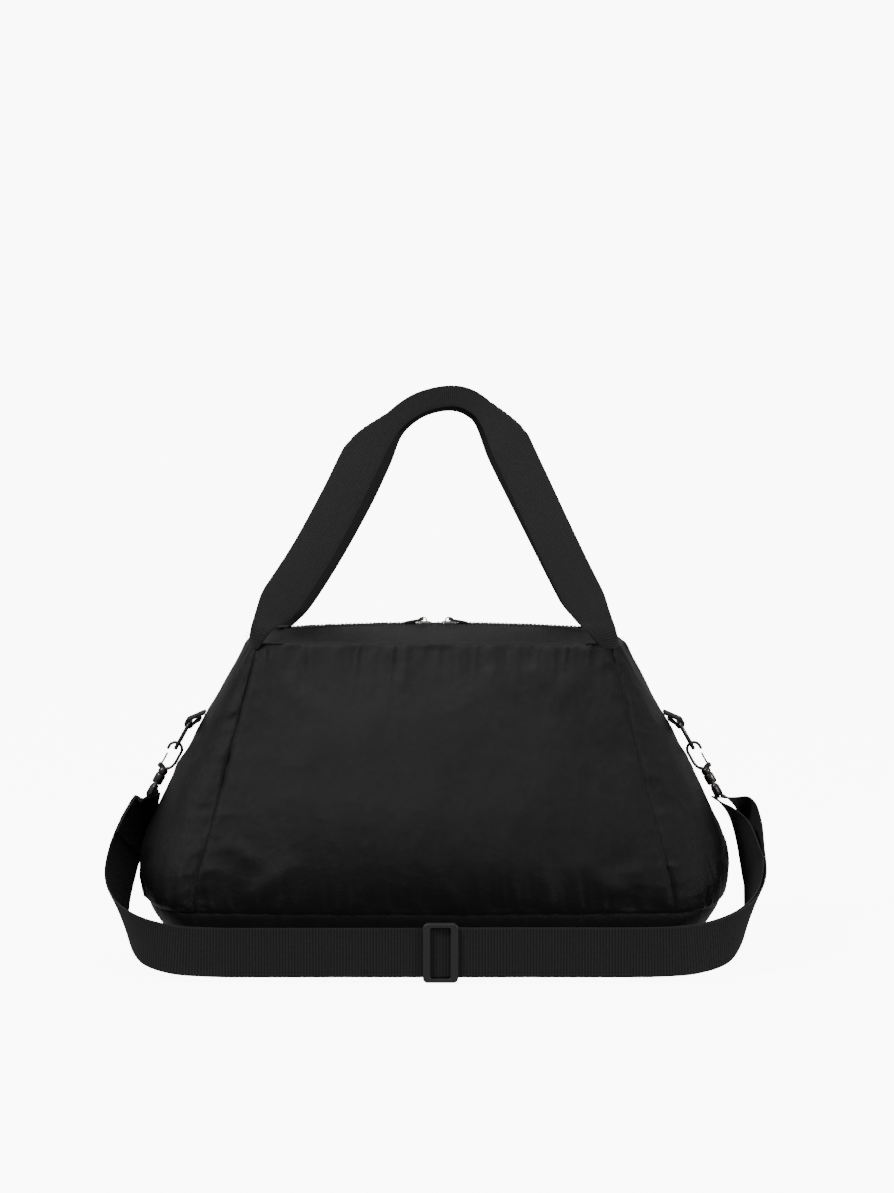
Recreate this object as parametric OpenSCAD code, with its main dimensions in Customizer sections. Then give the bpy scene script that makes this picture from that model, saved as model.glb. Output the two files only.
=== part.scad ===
// Duffel bag with a trapezoid front, two webbing carry handles and a shoulder strap.
// The origin is the centre of the flat base. +X is the bag's right, -Y its front, +Z is up.

/* [Shell] */
// Height of the seam between the base panel and the walls
base_seam_z = 48; // [40:1:56]
// Height of the top seam, where the facings start
top_seam_z = 249.6; // [240:0.2:256]
// Thickness of the fabric walls
wall = 1.5; // [1:0.1:2]
// Height of the zip line at the middle
ridge_z = 262; // [258:0.5:266]
// How much lower the zip line is at its ends
ridge_drop = 3.5; // [0:0.5:5]

/* [Zip] */
// Half the length of the zip and its facings
zip_half = 118; // [112:1:119]
// Centre of the two sliders' resting places
zip_middle = 1.25; // [-2:0.25:3]
// Distance from that centre to each slider
slider_apart = 10.75; // [10:0.25:13]
// Radius of one row of teeth
teeth_r = 1.3; // [1:0.05:1.4]
// Length of a pull tab
pull_len = 16; // [12:1:24]

/* [Handles] */
// Width of the handle webbing
handle_w = 32; // [28:1:40]
// Thickness of the handle webbing
handle_t = 1.8; // [1.4:0.1:2.4]
// Distance from the middle of the bag to a handle's foot, front to back
handle_foot_y = 45.5; // [44:0.5:48]

/* [Shoulder strap] */
// Width of the strap webbing
strap_w = 38; // [30:1:38]
// Thickness of the strap webbing
strap_t = 1.6; // [1.2:0.1:2]
// Distance of the strap's front run from the middle of the bag
strap_front_y = 135; // [128:1:140]
// Where the strap slider sits along the front run
strap_slider_x = 5; // [-60:1:60]

/* [Rings and hooks] */
// Distance of the rings from the middle of the bag
ring_x = 205; // [204:0.5:208]
// Height of the middle of a ring's curved side, which the strap swings about
ring_z = 178; // [174:1:182]
// Radius of a ring's curve, to the middle of its wire
ring_r = 15.3; // [13:0.1:17]
// Radius of a ring's wire
ring_wire = 1.6; // [1.4:0.1:1.8]
// Lean of the hooks from the vertical
hook_lean = 29; // [27:0.2:31]

/* [Hidden] */
$fn = 32;

fabric = [0.06, 0.06, 0.065];
webbing = [0.1, 0.1, 0.105];
hardware = [0.2, 0.19, 0.19];
silver = [0.75, 0.75, 0.76];

// ---- Sections of the bag, from the floor to the top seam ----
// [height, half width, half width to the corner seam, half depth at the seam, bulge of the panel]
SECTIONS = [
    [0, 184, 150, 76, 4],
    [6, 196, 162, 87, 5],
    [22, 209, 175, 98, 7],
    [base_seam_z, 227, 184, 103, 8],
    [72, 232, 182, 102, 12],
    [95, 228, 176, 97, 15],
    [124, 215.5, 169, 88, 17],
    [154, 200.5, 161.5, 77, 16],
    [185, 183, 154, 66, 13],
    [218, 165, 146, 54, 7],
    [top_seam_z, 148, 137, 43, 0]
];
SEAM_ROW = 3;
TOP_ROW = len(SECTIONS) - 1;
END_SQUARENESS = 2.3;

// A smooth curve through a list of rows, at a place counted in rows
function clamp_row(list, i) = list[max(0, min(len(list) - 1, i))];
function curve(list, v) =
    let (
        i = min(floor(v), len(list) - 2),
        f = v - i,
        p0 = clamp_row(list, i - 1),
        p1 = list[i],
        p2 = list[i + 1],
        p3 = clamp_row(list, i + 2)
    )
    (2 * p1 + (p2 - p0) * f + (2 * p0 - 5 * p1 + 4 * p2 - p3) * f * f
        + (3 * p1 - p0 - 3 * p2 + p3) * f * f * f) / 2;

// The section v, drawn in by an inset
function section(v, inset) = curve(SECTIONS, v) - inset * [0, 1, 0.9, 1, 0];
function rounded(c) = sign(c) * pow(abs(c), 2 / END_SQUARENESS);
// A point on a section: q runs 0-1 along the front, 1-2 round the right end,
// 2-3 along the back and 3-4 round the left end
function on_section(s, q) =
    q <= 1 ? let (u = 2 * q - 1) [s[2] * u, -s[3] - s[4] * (1 - u * u), s[0]]
    : q <= 2 ? let (t = 180 * (q - 1) - 90)
        [s[2] + (s[1] - s[2]) * rounded(cos(t)), s[3] * rounded(sin(t)), s[0]]
    : q <= 3 ? let (u = 5 - 2 * q) [s[2] * u, s[3] + s[4] * (1 - u * u), s[0]]
    : let (t = 180 * (q - 3) - 90)
        [-s[2] - (s[1] - s[2]) * rounded(cos(t)), -s[3] * rounded(sin(t)), s[0]];

// ---- Solids made from grids of points ----
// Two triangles for each square of a grid; flip turns them to face the other way
function quads(nu, nv, first, flip) = [
    for (j = [0:nv - 1], i = [0:nu - 1])
        let (
            a = first + j * (nu + 1) + i,
            b = a + 1,
            c = a + nu + 2,
            d = a + nu + 1
        )
        each flip ? [[a, c, b], [a, d, c]] : [[a, b, c], [a, c, d]]
];
// The side faces that close a sheet between its top grid and its bottom grid
function rim(nu, nv) =
    let (
        n = (nu + 1) * (nv + 1),
        loop = concat(
            [for (i = [0:nu]) i],
            [for (j = [1:nv]) j * (nu + 1) + nu],
            [for (i = [nu - 1:-1:0]) nv * (nu + 1) + i],
            [for (j = [nv - 1:-1:1]) j * (nu + 1)]
        ),
        m = len(loop)
    )
    [
        for (k = [0:m - 1])
            let (a = loop[k], b = loop[(k + 1) % m])
            each [[b, a, a + n], [b, a + n, b + n]]
    ];
module sheet(top, bottom, nu, nv) {
    n = (nu + 1) * (nv + 1);
    polyhedron(concat(top, bottom), concat(quads(nu, nv, 0, true), quads(nu, nv, n, false), [
        for (f = rim(nu, nv)) [f[0], f[2], f[1]]
    ]));
}
// A bar swept along rings of equal length, closed at both ends
module swept(rings) {
    k = len(rings[0]);
    n = len(rings);
    polyhedron(
        [for (r = rings) each r],
        concat(
            [for (j = [0:n - 2], i = [0:k - 1])
                let (a = j * k + i, b = j * k + (i + 1) % k)
                each [[a, b, b + k], [a, b + k, a + k]]],
            [for (i = [1:k - 2]) [0, i + 1, i]],
            [for (i = [1:k - 2]) [(n - 1) * k, (n - 1) * k + i, (n - 1) * k + i + 1]]
        )
    );
}

// ---- Shell panels ----
module wall_panel(q0, q1, nu) {
    nv = 21;
    function grid(inset) = [
        for (j = [0:nv], i = [0:nu])
            on_section(section(SEAM_ROW + (TOP_ROW - SEAM_ROW) * j / nv, inset), q0 + (q1 - q0) * i / nu)
    ];
    sheet(grid(0), grid(wall), nu, nv);
}
module front_panel() {
    color(fabric) wall_panel(0, 1, 20);
}
module back_panel() {
    color(fabric) wall_panel(2, 3, 20);
}

// The top of an end, from the end of the zip out to the end panel
function ridge(x) = ridge_z - ridge_drop * pow(abs(x) / zip_half, 2);
module end_top(side) {
    nu = 12;
    nv = 4;
    lift = 1.2;
    top = section(TOP_ROW, 0);
    rise = ridge(zip_half) - top_seam_z;
    function grid(dz) = [
        for (j = [0:nv], i = [0:nu])
            let (
                w = 2 * i / nu - 1,
                s = j / nv,
                inner = [zip_half + 0.5, top[3] * w],
                outer = [for (k = [0, 1]) on_section(top, 1.5 + w / 2)[k]],
                p = inner * (1 - s) + outer * s
            )
            [side * p[0], p[1], top_seam_z + dz + rise * (1 - abs(w)) * (1 - s)]
    ];
    color(fabric)
        if (side < 0) sheet(grid(lift), grid(0), nu, nv);
        else sheet(grid(0), grid(lift), nu, nv);
}
module left_end_panel() {
    color(fabric) wall_panel(3, 4, 20);
}
module right_end_panel() {
    color(fabric) wall_panel(1, 2, 20);
}
module left_end_top() {
    end_top(-1);
}
module right_end_top() {
    end_top(1);
}

// The base: a shallow tray from its seam down to the flat floor
module base_panel() {
    around = 64;
    rows = 6;
    deep = (base_seam_z - wall) / base_seam_z;
    function ring(v, inset) = [
        for (i = [0:around - 1])
            let (p = on_section(section(v, inset), 4 * i / around))
            inset > 0 ? [p[0], p[1], base_seam_z - (base_seam_z - p[2]) * deep] : p
    ];
    outer = [for (j = [0:rows]) each ring(SEAM_ROW * j / rows, 0)];
    inner = [for (j = [0:rows]) each ring(SEAM_ROW * j / rows, wall)];
    n = len(outer);
    function band(first, flip) = [
        for (j = [0:rows - 1], i = [0:around - 1])
            let (
                a = first + j * around + i,
                b = first + j * around + (i + 1) % around,
                c = b + around,
                d = a + around
            )
            each flip ? [[a, c, b], [a, d, c]] : [[a, b, c], [a, c, d]]
    ];
    last = rows * around;
    color(fabric) polyhedron(
        concat(outer, inner, [[0, 0, 0], [0, 0, wall]]),
        concat(
            band(0, true),
            band(n, false),
            [for (i = [0:around - 1]) [i, (i + 1) % around, 2 * n]],
            [for (i = [0:around - 1]) [n + (i + 1) % around, n + i, 2 * n + 1]],
            [for (i = [0:around - 1])
                let (a = last + i, b = last + (i + 1) % around)
                each [[a, a + n, b], [b, a + n, b + n]]]
        )
    );
}

// Bindings inside the seams: a narrow folded tape along each
module corner_bindings() {
    steps = 16;
    gap = 0.2;
    size = 5;
    color(webbing)
        for (sx = [-1, 1], sy = [-1, 1])
            swept([
                for (j = [0:steps])
                    let (
                        v = SEAM_ROW + 0.35 + (TOP_ROW - SEAM_ROW - 0.7) * j / steps,
                        s = section(v, wall),
                        x = s[2] - gap - 3,
                        y = s[3] - gap - 1.5,
                        ring = [
                            [sx * x, sy * y, s[0]],
                            [sx * (x - size), sy * y, s[0]],
                            [sx * (x - size), sy * (y - 1.2), s[0]],
                            [sx * x, sy * (y - 1.2), s[0]]
                        ]
                    )
                    sx * sy > 0 ? ring : [for (k = [3:-1:0]) ring[k]]
            ]);
}
module base_binding() {
    around = 56;
    s = section(SEAM_ROW, wall);
    gap = 0.4;
    function loop(inset, z) = [
        for (i = [0:around - 1])
            let (p = on_section(s - (gap + inset) * [0, 1, 0.9, 1, 0], 4 * i / around)) [p[0], p[1], z]
    ];
    z = base_seam_z;
    pts = concat(loop(0.6, z + 0.6), loop(2, z + 0.6), loop(2, z + 8), loop(0.6, z + 8));
    color(webbing) polyhedron(pts, [
        for (k = [0:3], i = [0:around - 1])
            let (
                a = k * around + i,
                b = k * around + (i + 1) % around,
                c = ((k + 1) % 4) * around + (i + 1) % around,
                d = ((k + 1) % 4) * around + i
            )
            each [[a, c, b], [a, d, c]]
    ]);
}

// ---- Facings and zip ----
hinge_y = 41;
hinge_z = top_seam_z + 0.4;
facing_edge = 7.5;
facing_t = 1.2;
// A strip that follows the zip line between two distances from it
module zip_strip(side, y0, y1, z0, z1, t, puff) {
    nu = 24;
    nv = 6;
    function grid(dz) = [
        for (j = [0:nv], i = [0:nu])
            let (
                x = -zip_half + 2 * zip_half * i / nu,
                s = j / nv,
                fall = ridge(x) - ridge(0)
            )
            [x, side * (y0 + (y1 - y0) * s), z0 + (z1 - z0 + fall) * s + puff * sin(180 * s) + dz]
    ];
    if (side < 0) sheet(grid(t), grid(0), nu, nv);
    else sheet(grid(0), grid(t), nu, nv);
}
module facing(side) {
    zip_strip(side, hinge_y, facing_edge, hinge_z, ridge_z - 0.6, facing_t, 1.5);
}
module front_facing() {
    color(fabric) facing(-1);
}
module rear_facing() {
    color(fabric) facing(1);
}
tape_t = 0.6;
tape_drop = 1.9;
module zip_tape(side) {
    nu = 24;
    inner = 3.4;
    outer = 11;
    function grid(dz) = [
        for (j = [0, 1], i = [0:nu])
            let (x = -zip_half + 1 + 2 * (zip_half - 1) * i / nu)
            [x, side * (j == 0 ? outer : inner + parting(x)), ridge(x) - tape_drop - (j == 0 ? 1.6 : 0) + dz]
    ];
    if (side < 0) sheet(grid(tape_t), grid(0), nu, 1);
    else sheet(grid(0), grid(tape_t), nu, 1);
}
// The two rows part round the sliders' wedges, between the sliders
function ease(f) = let (c = max(0, min(1, f))) c * c * (3 - 2 * c);
function parting(x) = 1.6 * ease((slider_apart + 1 - abs(x - zip_middle)) / 4);
module front_zip_tape() {
    color(fabric) zip_tape(-1);
}
module rear_zip_tape() {
    color(fabric) zip_tape(1);
}
module zip_teeth(side) {
    steps = 48;
    end = zip_half - 4;
    color(fabric) swept([
        for (j = [0:steps])
            let (x = -end + 2 * end * j / steps, y = side * (teeth_r + 0.12 + parting(x)))
            [for (k = [0:7]) [x, y + teeth_r * cos(45 * k), ridge(x) - 1.6 + teeth_r * sin(45 * k)]]
    ]);
}
module front_zip_teeth() {
    zip_teeth(-1);
}
module rear_zip_teeth() {
    zip_teeth(1);
}
module zip_stops() {
    color(silver)
        for (side = [-1, 1])
            translate([side * (zip_half + 2.6), 0, ridge(zip_half) + 2.2])
                cube([3.6, 6, 1.4], center = true);
}

// A slider: two plates joined by a wedge, open at the sides for the tapes
slider_len = 12;
wide = 11.6;
narrow = 9;
bridge_z = 4.5;
pull_pin = 0.8;
// +X is the end that closes the rows; the wedge is at the -X end
module slider_shape() {
    module plate() {
        linear_extrude(1)
            polygon([
                [-slider_len / 2, -wide / 2 + 1], [-slider_len / 2 + 1, -wide / 2], [0, -wide / 2 + 0.4],
                [slider_len / 2 - 1, -narrow / 2], [slider_len / 2, -narrow / 2 + 1],
                [slider_len / 2, narrow / 2 - 1], [slider_len / 2 - 1, narrow / 2], [0, wide / 2 - 0.4],
                [-slider_len / 2 + 1, wide / 2], [-slider_len / 2, wide / 2 - 1]
            ]);
    }
    difference() {
        union() {
            translate([0, 0, 1.8]) plate();
            translate([0, 0, -2.8]) plate();
            translate([-slider_len / 2 + 0.2, 0, -2.5])
                linear_extrude(5) polygon([[0, -1.1], [2.6, -0.5], [3.2, 0], [2.6, 0.5], [0, 1.1]]);
            translate([0, -1.4, 2.6]) {
                translate([-3.6, 0, 0]) cube([1.2, 2.8, 3.4]);
                translate([2.4, 0, 0]) cube([1.2, 2.8, 3.4]);
                translate([-3.6, 0, 2.9]) cube([7.2, 2.8, 1]);
            }
        }
    }
}
function slider_x(side) = zip_middle + side * slider_apart;
module slider_place(side) {
    translate([slider_x(side), 0, ridge(slider_x(side)) - 1.6])
        rotate([0, 0, side < 0 ? 180 : 0]) children();
}
module zip_slider_left() {
    color(silver) slider_place(-1) slider_shape();
}
module zip_slider_right() {
    color(silver) slider_place(1) slider_shape();
}
// The pull: a cross pin under the bridge, two cheeks and a flat tab
module pull_shape() {
    tab_w = 6.6;
    translate([0, 0, bridge_z]) {
        rotate([90, 0, 0]) cylinder(r = pull_pin, h = tab_w - 0.4, center = true);
        difference() {
            translate([-1.1, -tab_w / 2, -0.7]) cube([pull_len, tab_w, 1.4]);
            translate([-2, -1.8, -1]) cube([7.4, 3.6, 2]);
        }
    }
}
module pull_tab_left() {
    color(hardware) slider_place(-1) pull_shape();
}
module pull_tab_right() {
    color(hardware) slider_place(1) pull_shape();
}

// ---- Carry handles ----
// The middle line of a handle, left foot to right foot: [x, z]
FRONT_PATH = [
    [-142, 250.5], [-131, 269], [-119, 285], [-96, 320], [-73, 362], [-54, 399], [-33, 423],
    [-11, 438], [16, 443], [36, 435], [54, 414], [69, 384], [92, 335], [110, 298], [124, 272], [138, 250.5]
];
REAR_PATH = [
    [-138, 250.5], [-122, 269], [-109, 285], [-87, 320], [-64, 362], [-47, 397], [-31, 419],
    [-11, 434], [14, 439], [34, 431], [50, 411], [65, 381], [89, 333], [107, 297], [121, 271], [135, 250.5]
];
handle_top_y = 4.2;
grip_narrowing = 0.58;
foot_narrowing = 0.5;
GRIP_FROM = 5.6;
GRIP_TO = 9.6;
// 0 on the legs, 1 where the webbing is folded for the grip
function folded(v) = ease((v - GRIP_FROM + 0.9) / 1.5) * ease((GRIP_TO + 0.9 - v) / 1.5);
handle_foot_z = 250.5;
handle_apex_z = 440;
function lean_y(z) =
    handle_foot_y + (handle_top_y - handle_foot_y) * (z - handle_foot_z) / (handle_apex_z - handle_foot_z);
module handle(path, side) {
    steps = 58;
    last = len(path) - 1;
    above_hinge = handle_foot_z + 0.5;
    intersection() {
        translate([-200, -100, above_hinge]) cube([400, 200, 250]);
        swept([
            for (j = [0:steps])
                let (
                    v = last * j / steps,
                    p = curve(path, v),
                    ahead = curve(path, min(last, v + 0.05)) - curve(path, max(0, v - 0.05)),
                    t = ahead / norm(ahead),
                    n = [-t[1], t[0]],
                    f = folded(v),
                    foot = 1 - foot_narrowing * (ease(1 - v / 1.3) + ease(1 - (last - v) / 1.3)),
                    w = handle_w / 2 * (1 - grip_narrowing * f) * foot,
                    h = handle_t / 2 * (1 + 1.1 * f),
                    a = p + n * w,
                    b = p - n * w,
                    ring = [
                        [a[0], side * (lean_y(a[1]) + h), a[1]],
                        [b[0], side * (lean_y(b[1]) + h), b[1]],
                        [b[0], side * (lean_y(b[1]) - h), b[1]],
                        [a[0], side * (lean_y(a[1]) - h), a[1]]
                    ]
                )
                side < 0 ? ring : [for (k = [3:-1:0]) ring[k]]
        ]);
    }
}
module front_handle() {
    color(webbing) handle(FRONT_PATH, -1);
}
module rear_handle() {
    color(webbing) handle(REAR_PATH, 1);
}
// The ends of the handles, sewn inside the top corners
module handle_ends() {
    drop = 22;
    color(webbing)
        for (sx = [-1, 1], sy = [-1, 1])
            translate([sx * 118, sy * 38, top_seam_z - 2 - drop / 2])
                cube([22, 1.6, drop], center = true);
}

// ---- Rings and their tabs ----
// Each ring hangs from its bar in line with its hook; ring_x is where its lowest point is
ring_drop = 8 + ring_r;
ring_bar_x = ring_x - ring_drop * sin(hook_lean);
ring_bar_z = ring_z - ring_r + ring_drop * cos(hook_lean);
tab_w = 25;
module d_ring(side) {
    side_len = ring_drop - ring_r;
    color(hardware) translate([side * ring_bar_x, 0, ring_bar_z]) rotate([0, -side * hook_lean, 0])
        translate([0, 0, -side_len]) {
        rotate([0, 90, 0]) rotate([0, 0, -90]) rotate_extrude(angle = 180) translate([ring_r, 0]) circle(r = ring_wire);
        for (sy = [-1, 1]) {
            translate([0, sy * ring_r, 0]) cylinder(r = ring_wire, h = side_len);
            translate([0, sy * ring_r, side_len]) sphere(r = ring_wire);
        }
        translate([0, 0, side_len]) rotate([90, 0, 0]) cylinder(r = ring_wire, h = 2 * ring_r, center = true);
    }
}
module d_ring_left() {
    d_ring(-1);
}
module d_ring_right() {
    d_ring(1);
}
module ring_tab() {
    tab_r = 3.4;
    reach = 11.9;
    color(webbing) translate([-ring_bar_x, tab_w / 2, ring_bar_z]) rotate([90, 0, 0])
        linear_extrude(tab_w) difference() {
            union() {
                circle(r = tab_r);
                polygon([[0, tab_r - 0.2], [0, -tab_r + 0.2], [reach - 2.9, -5.2], [reach + 2.1, 3.6], [reach + 0.6, 3.6]]);
            }
            circle(r = ring_wire + 0.08);
        }
}
module ring_tab_left() {
    ring_tab();
}
module ring_tab_right() {
    mirror([1, 0, 0]) ring_tab();
}

// ---- Snap hooks on swivels ----
// Each is drawn upright, with its webbing slot at the origin, and leans towards the bag
hook_reach = 34.7;
crook_z = hook_reach - 1.2;
crook_in = 4.2;
crook_out = 6.6;
hook_half = 1.9;
gate_axis = [-4.4, 16.8];
pin_r = 1.82;
slot_bar_z = -4.5;
slot_bar_r = 1.8;
slot_half = 20;
slot_end_t = 3.4;
function hook_foot(side) = [
    side * (ring_x + hook_reach * sin(hook_lean)), 0, ring_z - ring_r - hook_reach * cos(hook_lean)
];
module hook_place(side) {
    translate(hook_foot(side)) rotate([0, -side * hook_lean, 0]) rotate([0, 0, side < 0 ? 0 : 180]) children();
}
// A flat plate across Y, drawn in X and Z
module upright(half) {
    translate([0, half, 0]) rotate([90, 0, 0]) linear_extrude(2 * half) children();
}
module snap_hook_shape() {
    cylinder(r = pin_r, h = 12, $fn = 32);
    translate([0, 0, 0.1]) cylinder(r = 2.8, h = 1.4);
    translate([0, 0, 11.5]) cylinder(r = 3.4, h = 3.5);
    upright(hook_half) {
        difference() {
            translate([0, crook_z]) circle(r = crook_out);
            translate([0, crook_z]) circle(r = crook_in);
            translate([-10, crook_z - 12]) square([10, 12 - 3.4]);
            translate([-crook_in, crook_z - 12]) square([2 * crook_in, 12]);
        }
        translate([crook_in, 19]) square([crook_out - crook_in, crook_z - 19]);
        difference() {
            polygon([[-3.4, 14.6], [3.4, 14.6], [crook_out, 20], [crook_in, 21.5], [1.5, 19], [-3.4, 17]]);
            translate(gate_axis) circle(r = 1.9);
        }
    }
    // Two cheeks beside the gate, and the gate's pin
    for (sy = [-1, 1])
        translate([0, sy * (hook_half - 0.5) + 0.5, 0]) rotate([90, 0, 0]) linear_extrude(1)
            union() {
                translate(gate_axis) circle(r = 2.1);
                polygon([gate_axis + [0, -2.1], [-1.2, 14.6], [-1.2, 17.5], gate_axis + [0.5, 2]]);
            }
    translate([gate_axis[0], 0, gate_axis[1]]) rotate([90, 0, 0]) cylinder(r = 0.8, h = 2 * hook_half - 0.2, center = true);
}
module gate_shape() {
    translate([gate_axis[0], 0, gate_axis[1]]) difference() {
        union() {
            rotate([90, 0, 0]) cylinder(r = 1.5, h = 1.4, center = true);
            translate([-0.1, -0.7, 0.8]) cube([1, 1.4, 10.4]);
        }
        rotate([90, 0, 0]) cylinder(r = 0.87, h = 4, center = true);
    }
}
module swivel_base_shape() {
    difference() {
        union() {
            for (sy = [-1, 1])
                translate([-1.8, sy > 0 ? slot_half : -slot_half - slot_end_t, slot_bar_z])
                    cube([3.6, slot_end_t, 5 - slot_bar_z]);
            translate([-1.8, -slot_half - 0.1, 2]) cube([3.6, 2 * slot_half + 0.2, 3]);
            translate([0, 0, slot_bar_z]) rotate([90, 0, 0])
                cylinder(r = slot_bar_r, h = 2 * (slot_half + slot_end_t), center = true);
            translate([0, 0, 2]) cylinder(r = 4, h = 9);
        }
        translate([0, 0, 1]) cylinder(r = pin_r + 0.08, h = 12, $fn = 32);
    }
}
module snap_hook_left() {
    color(hardware) hook_place(-1) snap_hook_shape();
}
module snap_hook_right() {
    color(hardware) hook_place(1) snap_hook_shape();
}
module hook_gate_left() {
    color(hardware) hook_place(-1) gate_shape();
}
module hook_gate_right() {
    color(hardware) hook_place(1) gate_shape();
}
module swivel_base_left() {
    color(hardware) hook_place(-1) swivel_base_shape();
}
module swivel_base_right() {
    color(hardware) hook_place(1) swivel_base_shape();
}

// ---- Shoulder strap ----
// The webbing turned round the bar of each swivel base
loop_in = slot_bar_r + 0.25;
loop_out = loop_in + strap_t;
module strap_turn() {
    translate([0, 0, slot_bar_z]) rotate([90, 0, 0]) difference() {
        cylinder(r = loop_out, h = strap_w, center = true);
        cylinder(r = loop_in, h = strap_w + 2, center = true);
    }
}
module strap_end_left() {
    color(webbing) hook_place(-1) strap_turn();
}
module strap_end_right() {
    color(webbing) hook_place(1) strap_turn();
}
// Middle line of the strap, from each hook down to the front run, and the way its width points
strap_mid_z = strap_w / 2 + 3.8;
strap_start = loop_out - slot_bar_z + 0.05;
// A point below a swivel base, in line with its hook
function below_hook(side, drop) = hook_foot(side) + drop * [side * sin(hook_lean), 0, -cos(hook_lean)];
LEFT_RUN = [
    [below_hook(-1, strap_start), [-0.02, -1, 0]], [below_hook(-1, strap_start + 8), [-0.15, -0.98, 0.08]],
    [[-238, -10, 100], [-0.4, -0.82, 0.38]], [[-245.5, -29, 77], [-0.5, -0.6, 0.6]],
    [[-248, -54, 56], [-0.45, -0.45, 0.78]], [[-241, -82, 39], [-0.3, -0.25, 0.92]],
    [[-225, -109, 28.5], [-0.12, -0.08, 0.99]], [[-200, -127, 24], [-0.02, 0, 1]],
    [[-170, -strap_front_y + 1.5, strap_mid_z + 0.1], [0, 0, 1]],
    [[-140, -strap_front_y, strap_mid_z], [0, 0, 1]]
];
RIGHT_RUN = [
    [[140, -strap_front_y, strap_mid_z], [0, 0, 1]], [[170, -strap_front_y + 1.5, strap_mid_z + 0.1], [0, 0, 1]],
    [[200, -127, 24], [0.02, 0, 1]], [[226, -109, 28.5], [0.1, -0.08, 0.99]],
    [[243, -82, 39], [0.25, -0.25, 0.93]], [[251.5, -54, 56], [0.35, -0.45, 0.8]],
    [[252.5, -29, 78], [0.3, -0.65, 0.65]], [[250.5, -11, 100], [0.22, -0.87, 0.4]],
    [[244, -2, 117], [0.12, -0.98, 0.1]], [below_hook(1, strap_start + 0.5) + [1.2, 0, 0.3], [0.03, -1, 0]]
];
STRAP = concat(LEFT_RUN, [
    for (x = [-100:40:100]) [[x, -strap_front_y, strap_mid_z], [0, 0, 1]]
], RIGHT_RUN);
RETURN_FIRST = 12.69;
function strap_at(path, v) =
    let (
        places = [for (p = path) p[0]],
        widths = [for (p = path) p[1]],
        last = len(path) - 1,
        p = curve(places, v),
        ahead = curve(places, min(last, v + 0.1)) - curve(places, max(0, v - 0.1)),
        t = ahead / norm(ahead),
        w0 = curve(widths, v),
        w1 = w0 - t * (w0 * t),
        w = w1 / norm(w1)
    )
    [p, t, w, cross(t, w)];
// A ring of the ribbon, moved along its normal by off
function ribbon_ring(f, off) =
    let (p = f[0] + f[3] * off, a = f[2] * strap_w / 2, h = f[3] * strap_t / 2)
    [p - a - h, p + a - h, p + a + h, p - a + h];
module shoulder_strap() {
    steps = 96;
    last = len(STRAP) - 1;
    color(webbing) swept([
        for (j = [0:steps]) ribbon_ring(strap_at(STRAP, last * j / steps), 0)
    ]);
}
// The second layer on the right: close behind the strap, then apart from it up to the swivel
return_gap = 2.4;
RETURN = concat([
    for (j = [0:9]) let (v = RETURN_FIRST + j * (21.4 - RETURN_FIRST) / 9, f = strap_at(STRAP, v))
        [f[0] - f[3] * return_gap, f[2]]
], [
    [[249.2, -31, 76], [0.3, -0.65, 0.65]], [[243.5, -13, 97], [0.22, -0.87, 0.4]],
    [[234, -4, 112.5], [0.12, -0.98, 0.1]], [below_hook(1, strap_start) - [4.6, 0, 1.2], [0.03, -1, 0]]
]);
module strap_return() {
    steps = 60;
    last = len(RETURN) - 1;
    color(webbing) swept([
        for (j = [0:steps]) ribbon_ring(strap_at(RETURN, last * j / steps), 0)
    ]);
}
// Three-bar slider: the strap runs behind its side bars and in front of its middle bar
module strap_slider() {
    frame_w = 27;
    bar = 3.2;
    side = 5.4;
    window = strap_w + 1.2;
    depth = 4.2;
    clear = 0.5;
    translate([strap_slider_x, -strap_front_y, strap_mid_z]) color(hardware) {
        for (sz = [-1, 1])
            translate([-frame_w / 2, -strap_t / 2 - clear - 2.2, sz > 0 ? window / 2 : -window / 2 - bar])
                cube([frame_w, depth + 3.2, bar]);
        for (sx = [-1, 1])
            translate([sx > 0 ? frame_w / 2 - side : -frame_w / 2, -strap_t / 2 - clear - 2.2, -window / 2 - bar])
                cube([side, 2.2, window + 2 * bar]);
        translate([-2, strap_t / 2 + clear + 0.2, -window / 2 - 0.5]) cube([4, 2.2, window + 1]);
    }
}

front_panel();
back_panel();
base_panel();
left_end_panel();
right_end_panel();
left_end_top();
right_end_top();
corner_bindings();
base_binding();
handle_ends();
front_facing();
rear_facing();
front_zip_tape();
rear_zip_tape();
front_zip_teeth();
rear_zip_teeth();
zip_stops();
zip_slider_left();
zip_slider_right();
pull_tab_left();
pull_tab_right();
front_handle();
rear_handle();
ring_tab_left();
ring_tab_right();
d_ring_left();
d_ring_right();
snap_hook_left();
snap_hook_right();
hook_gate_left();
hook_gate_right();
swivel_base_left();
swivel_base_right();
strap_end_left();
strap_end_right();
shoulder_strap();
strap_return();
strap_slider();
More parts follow.
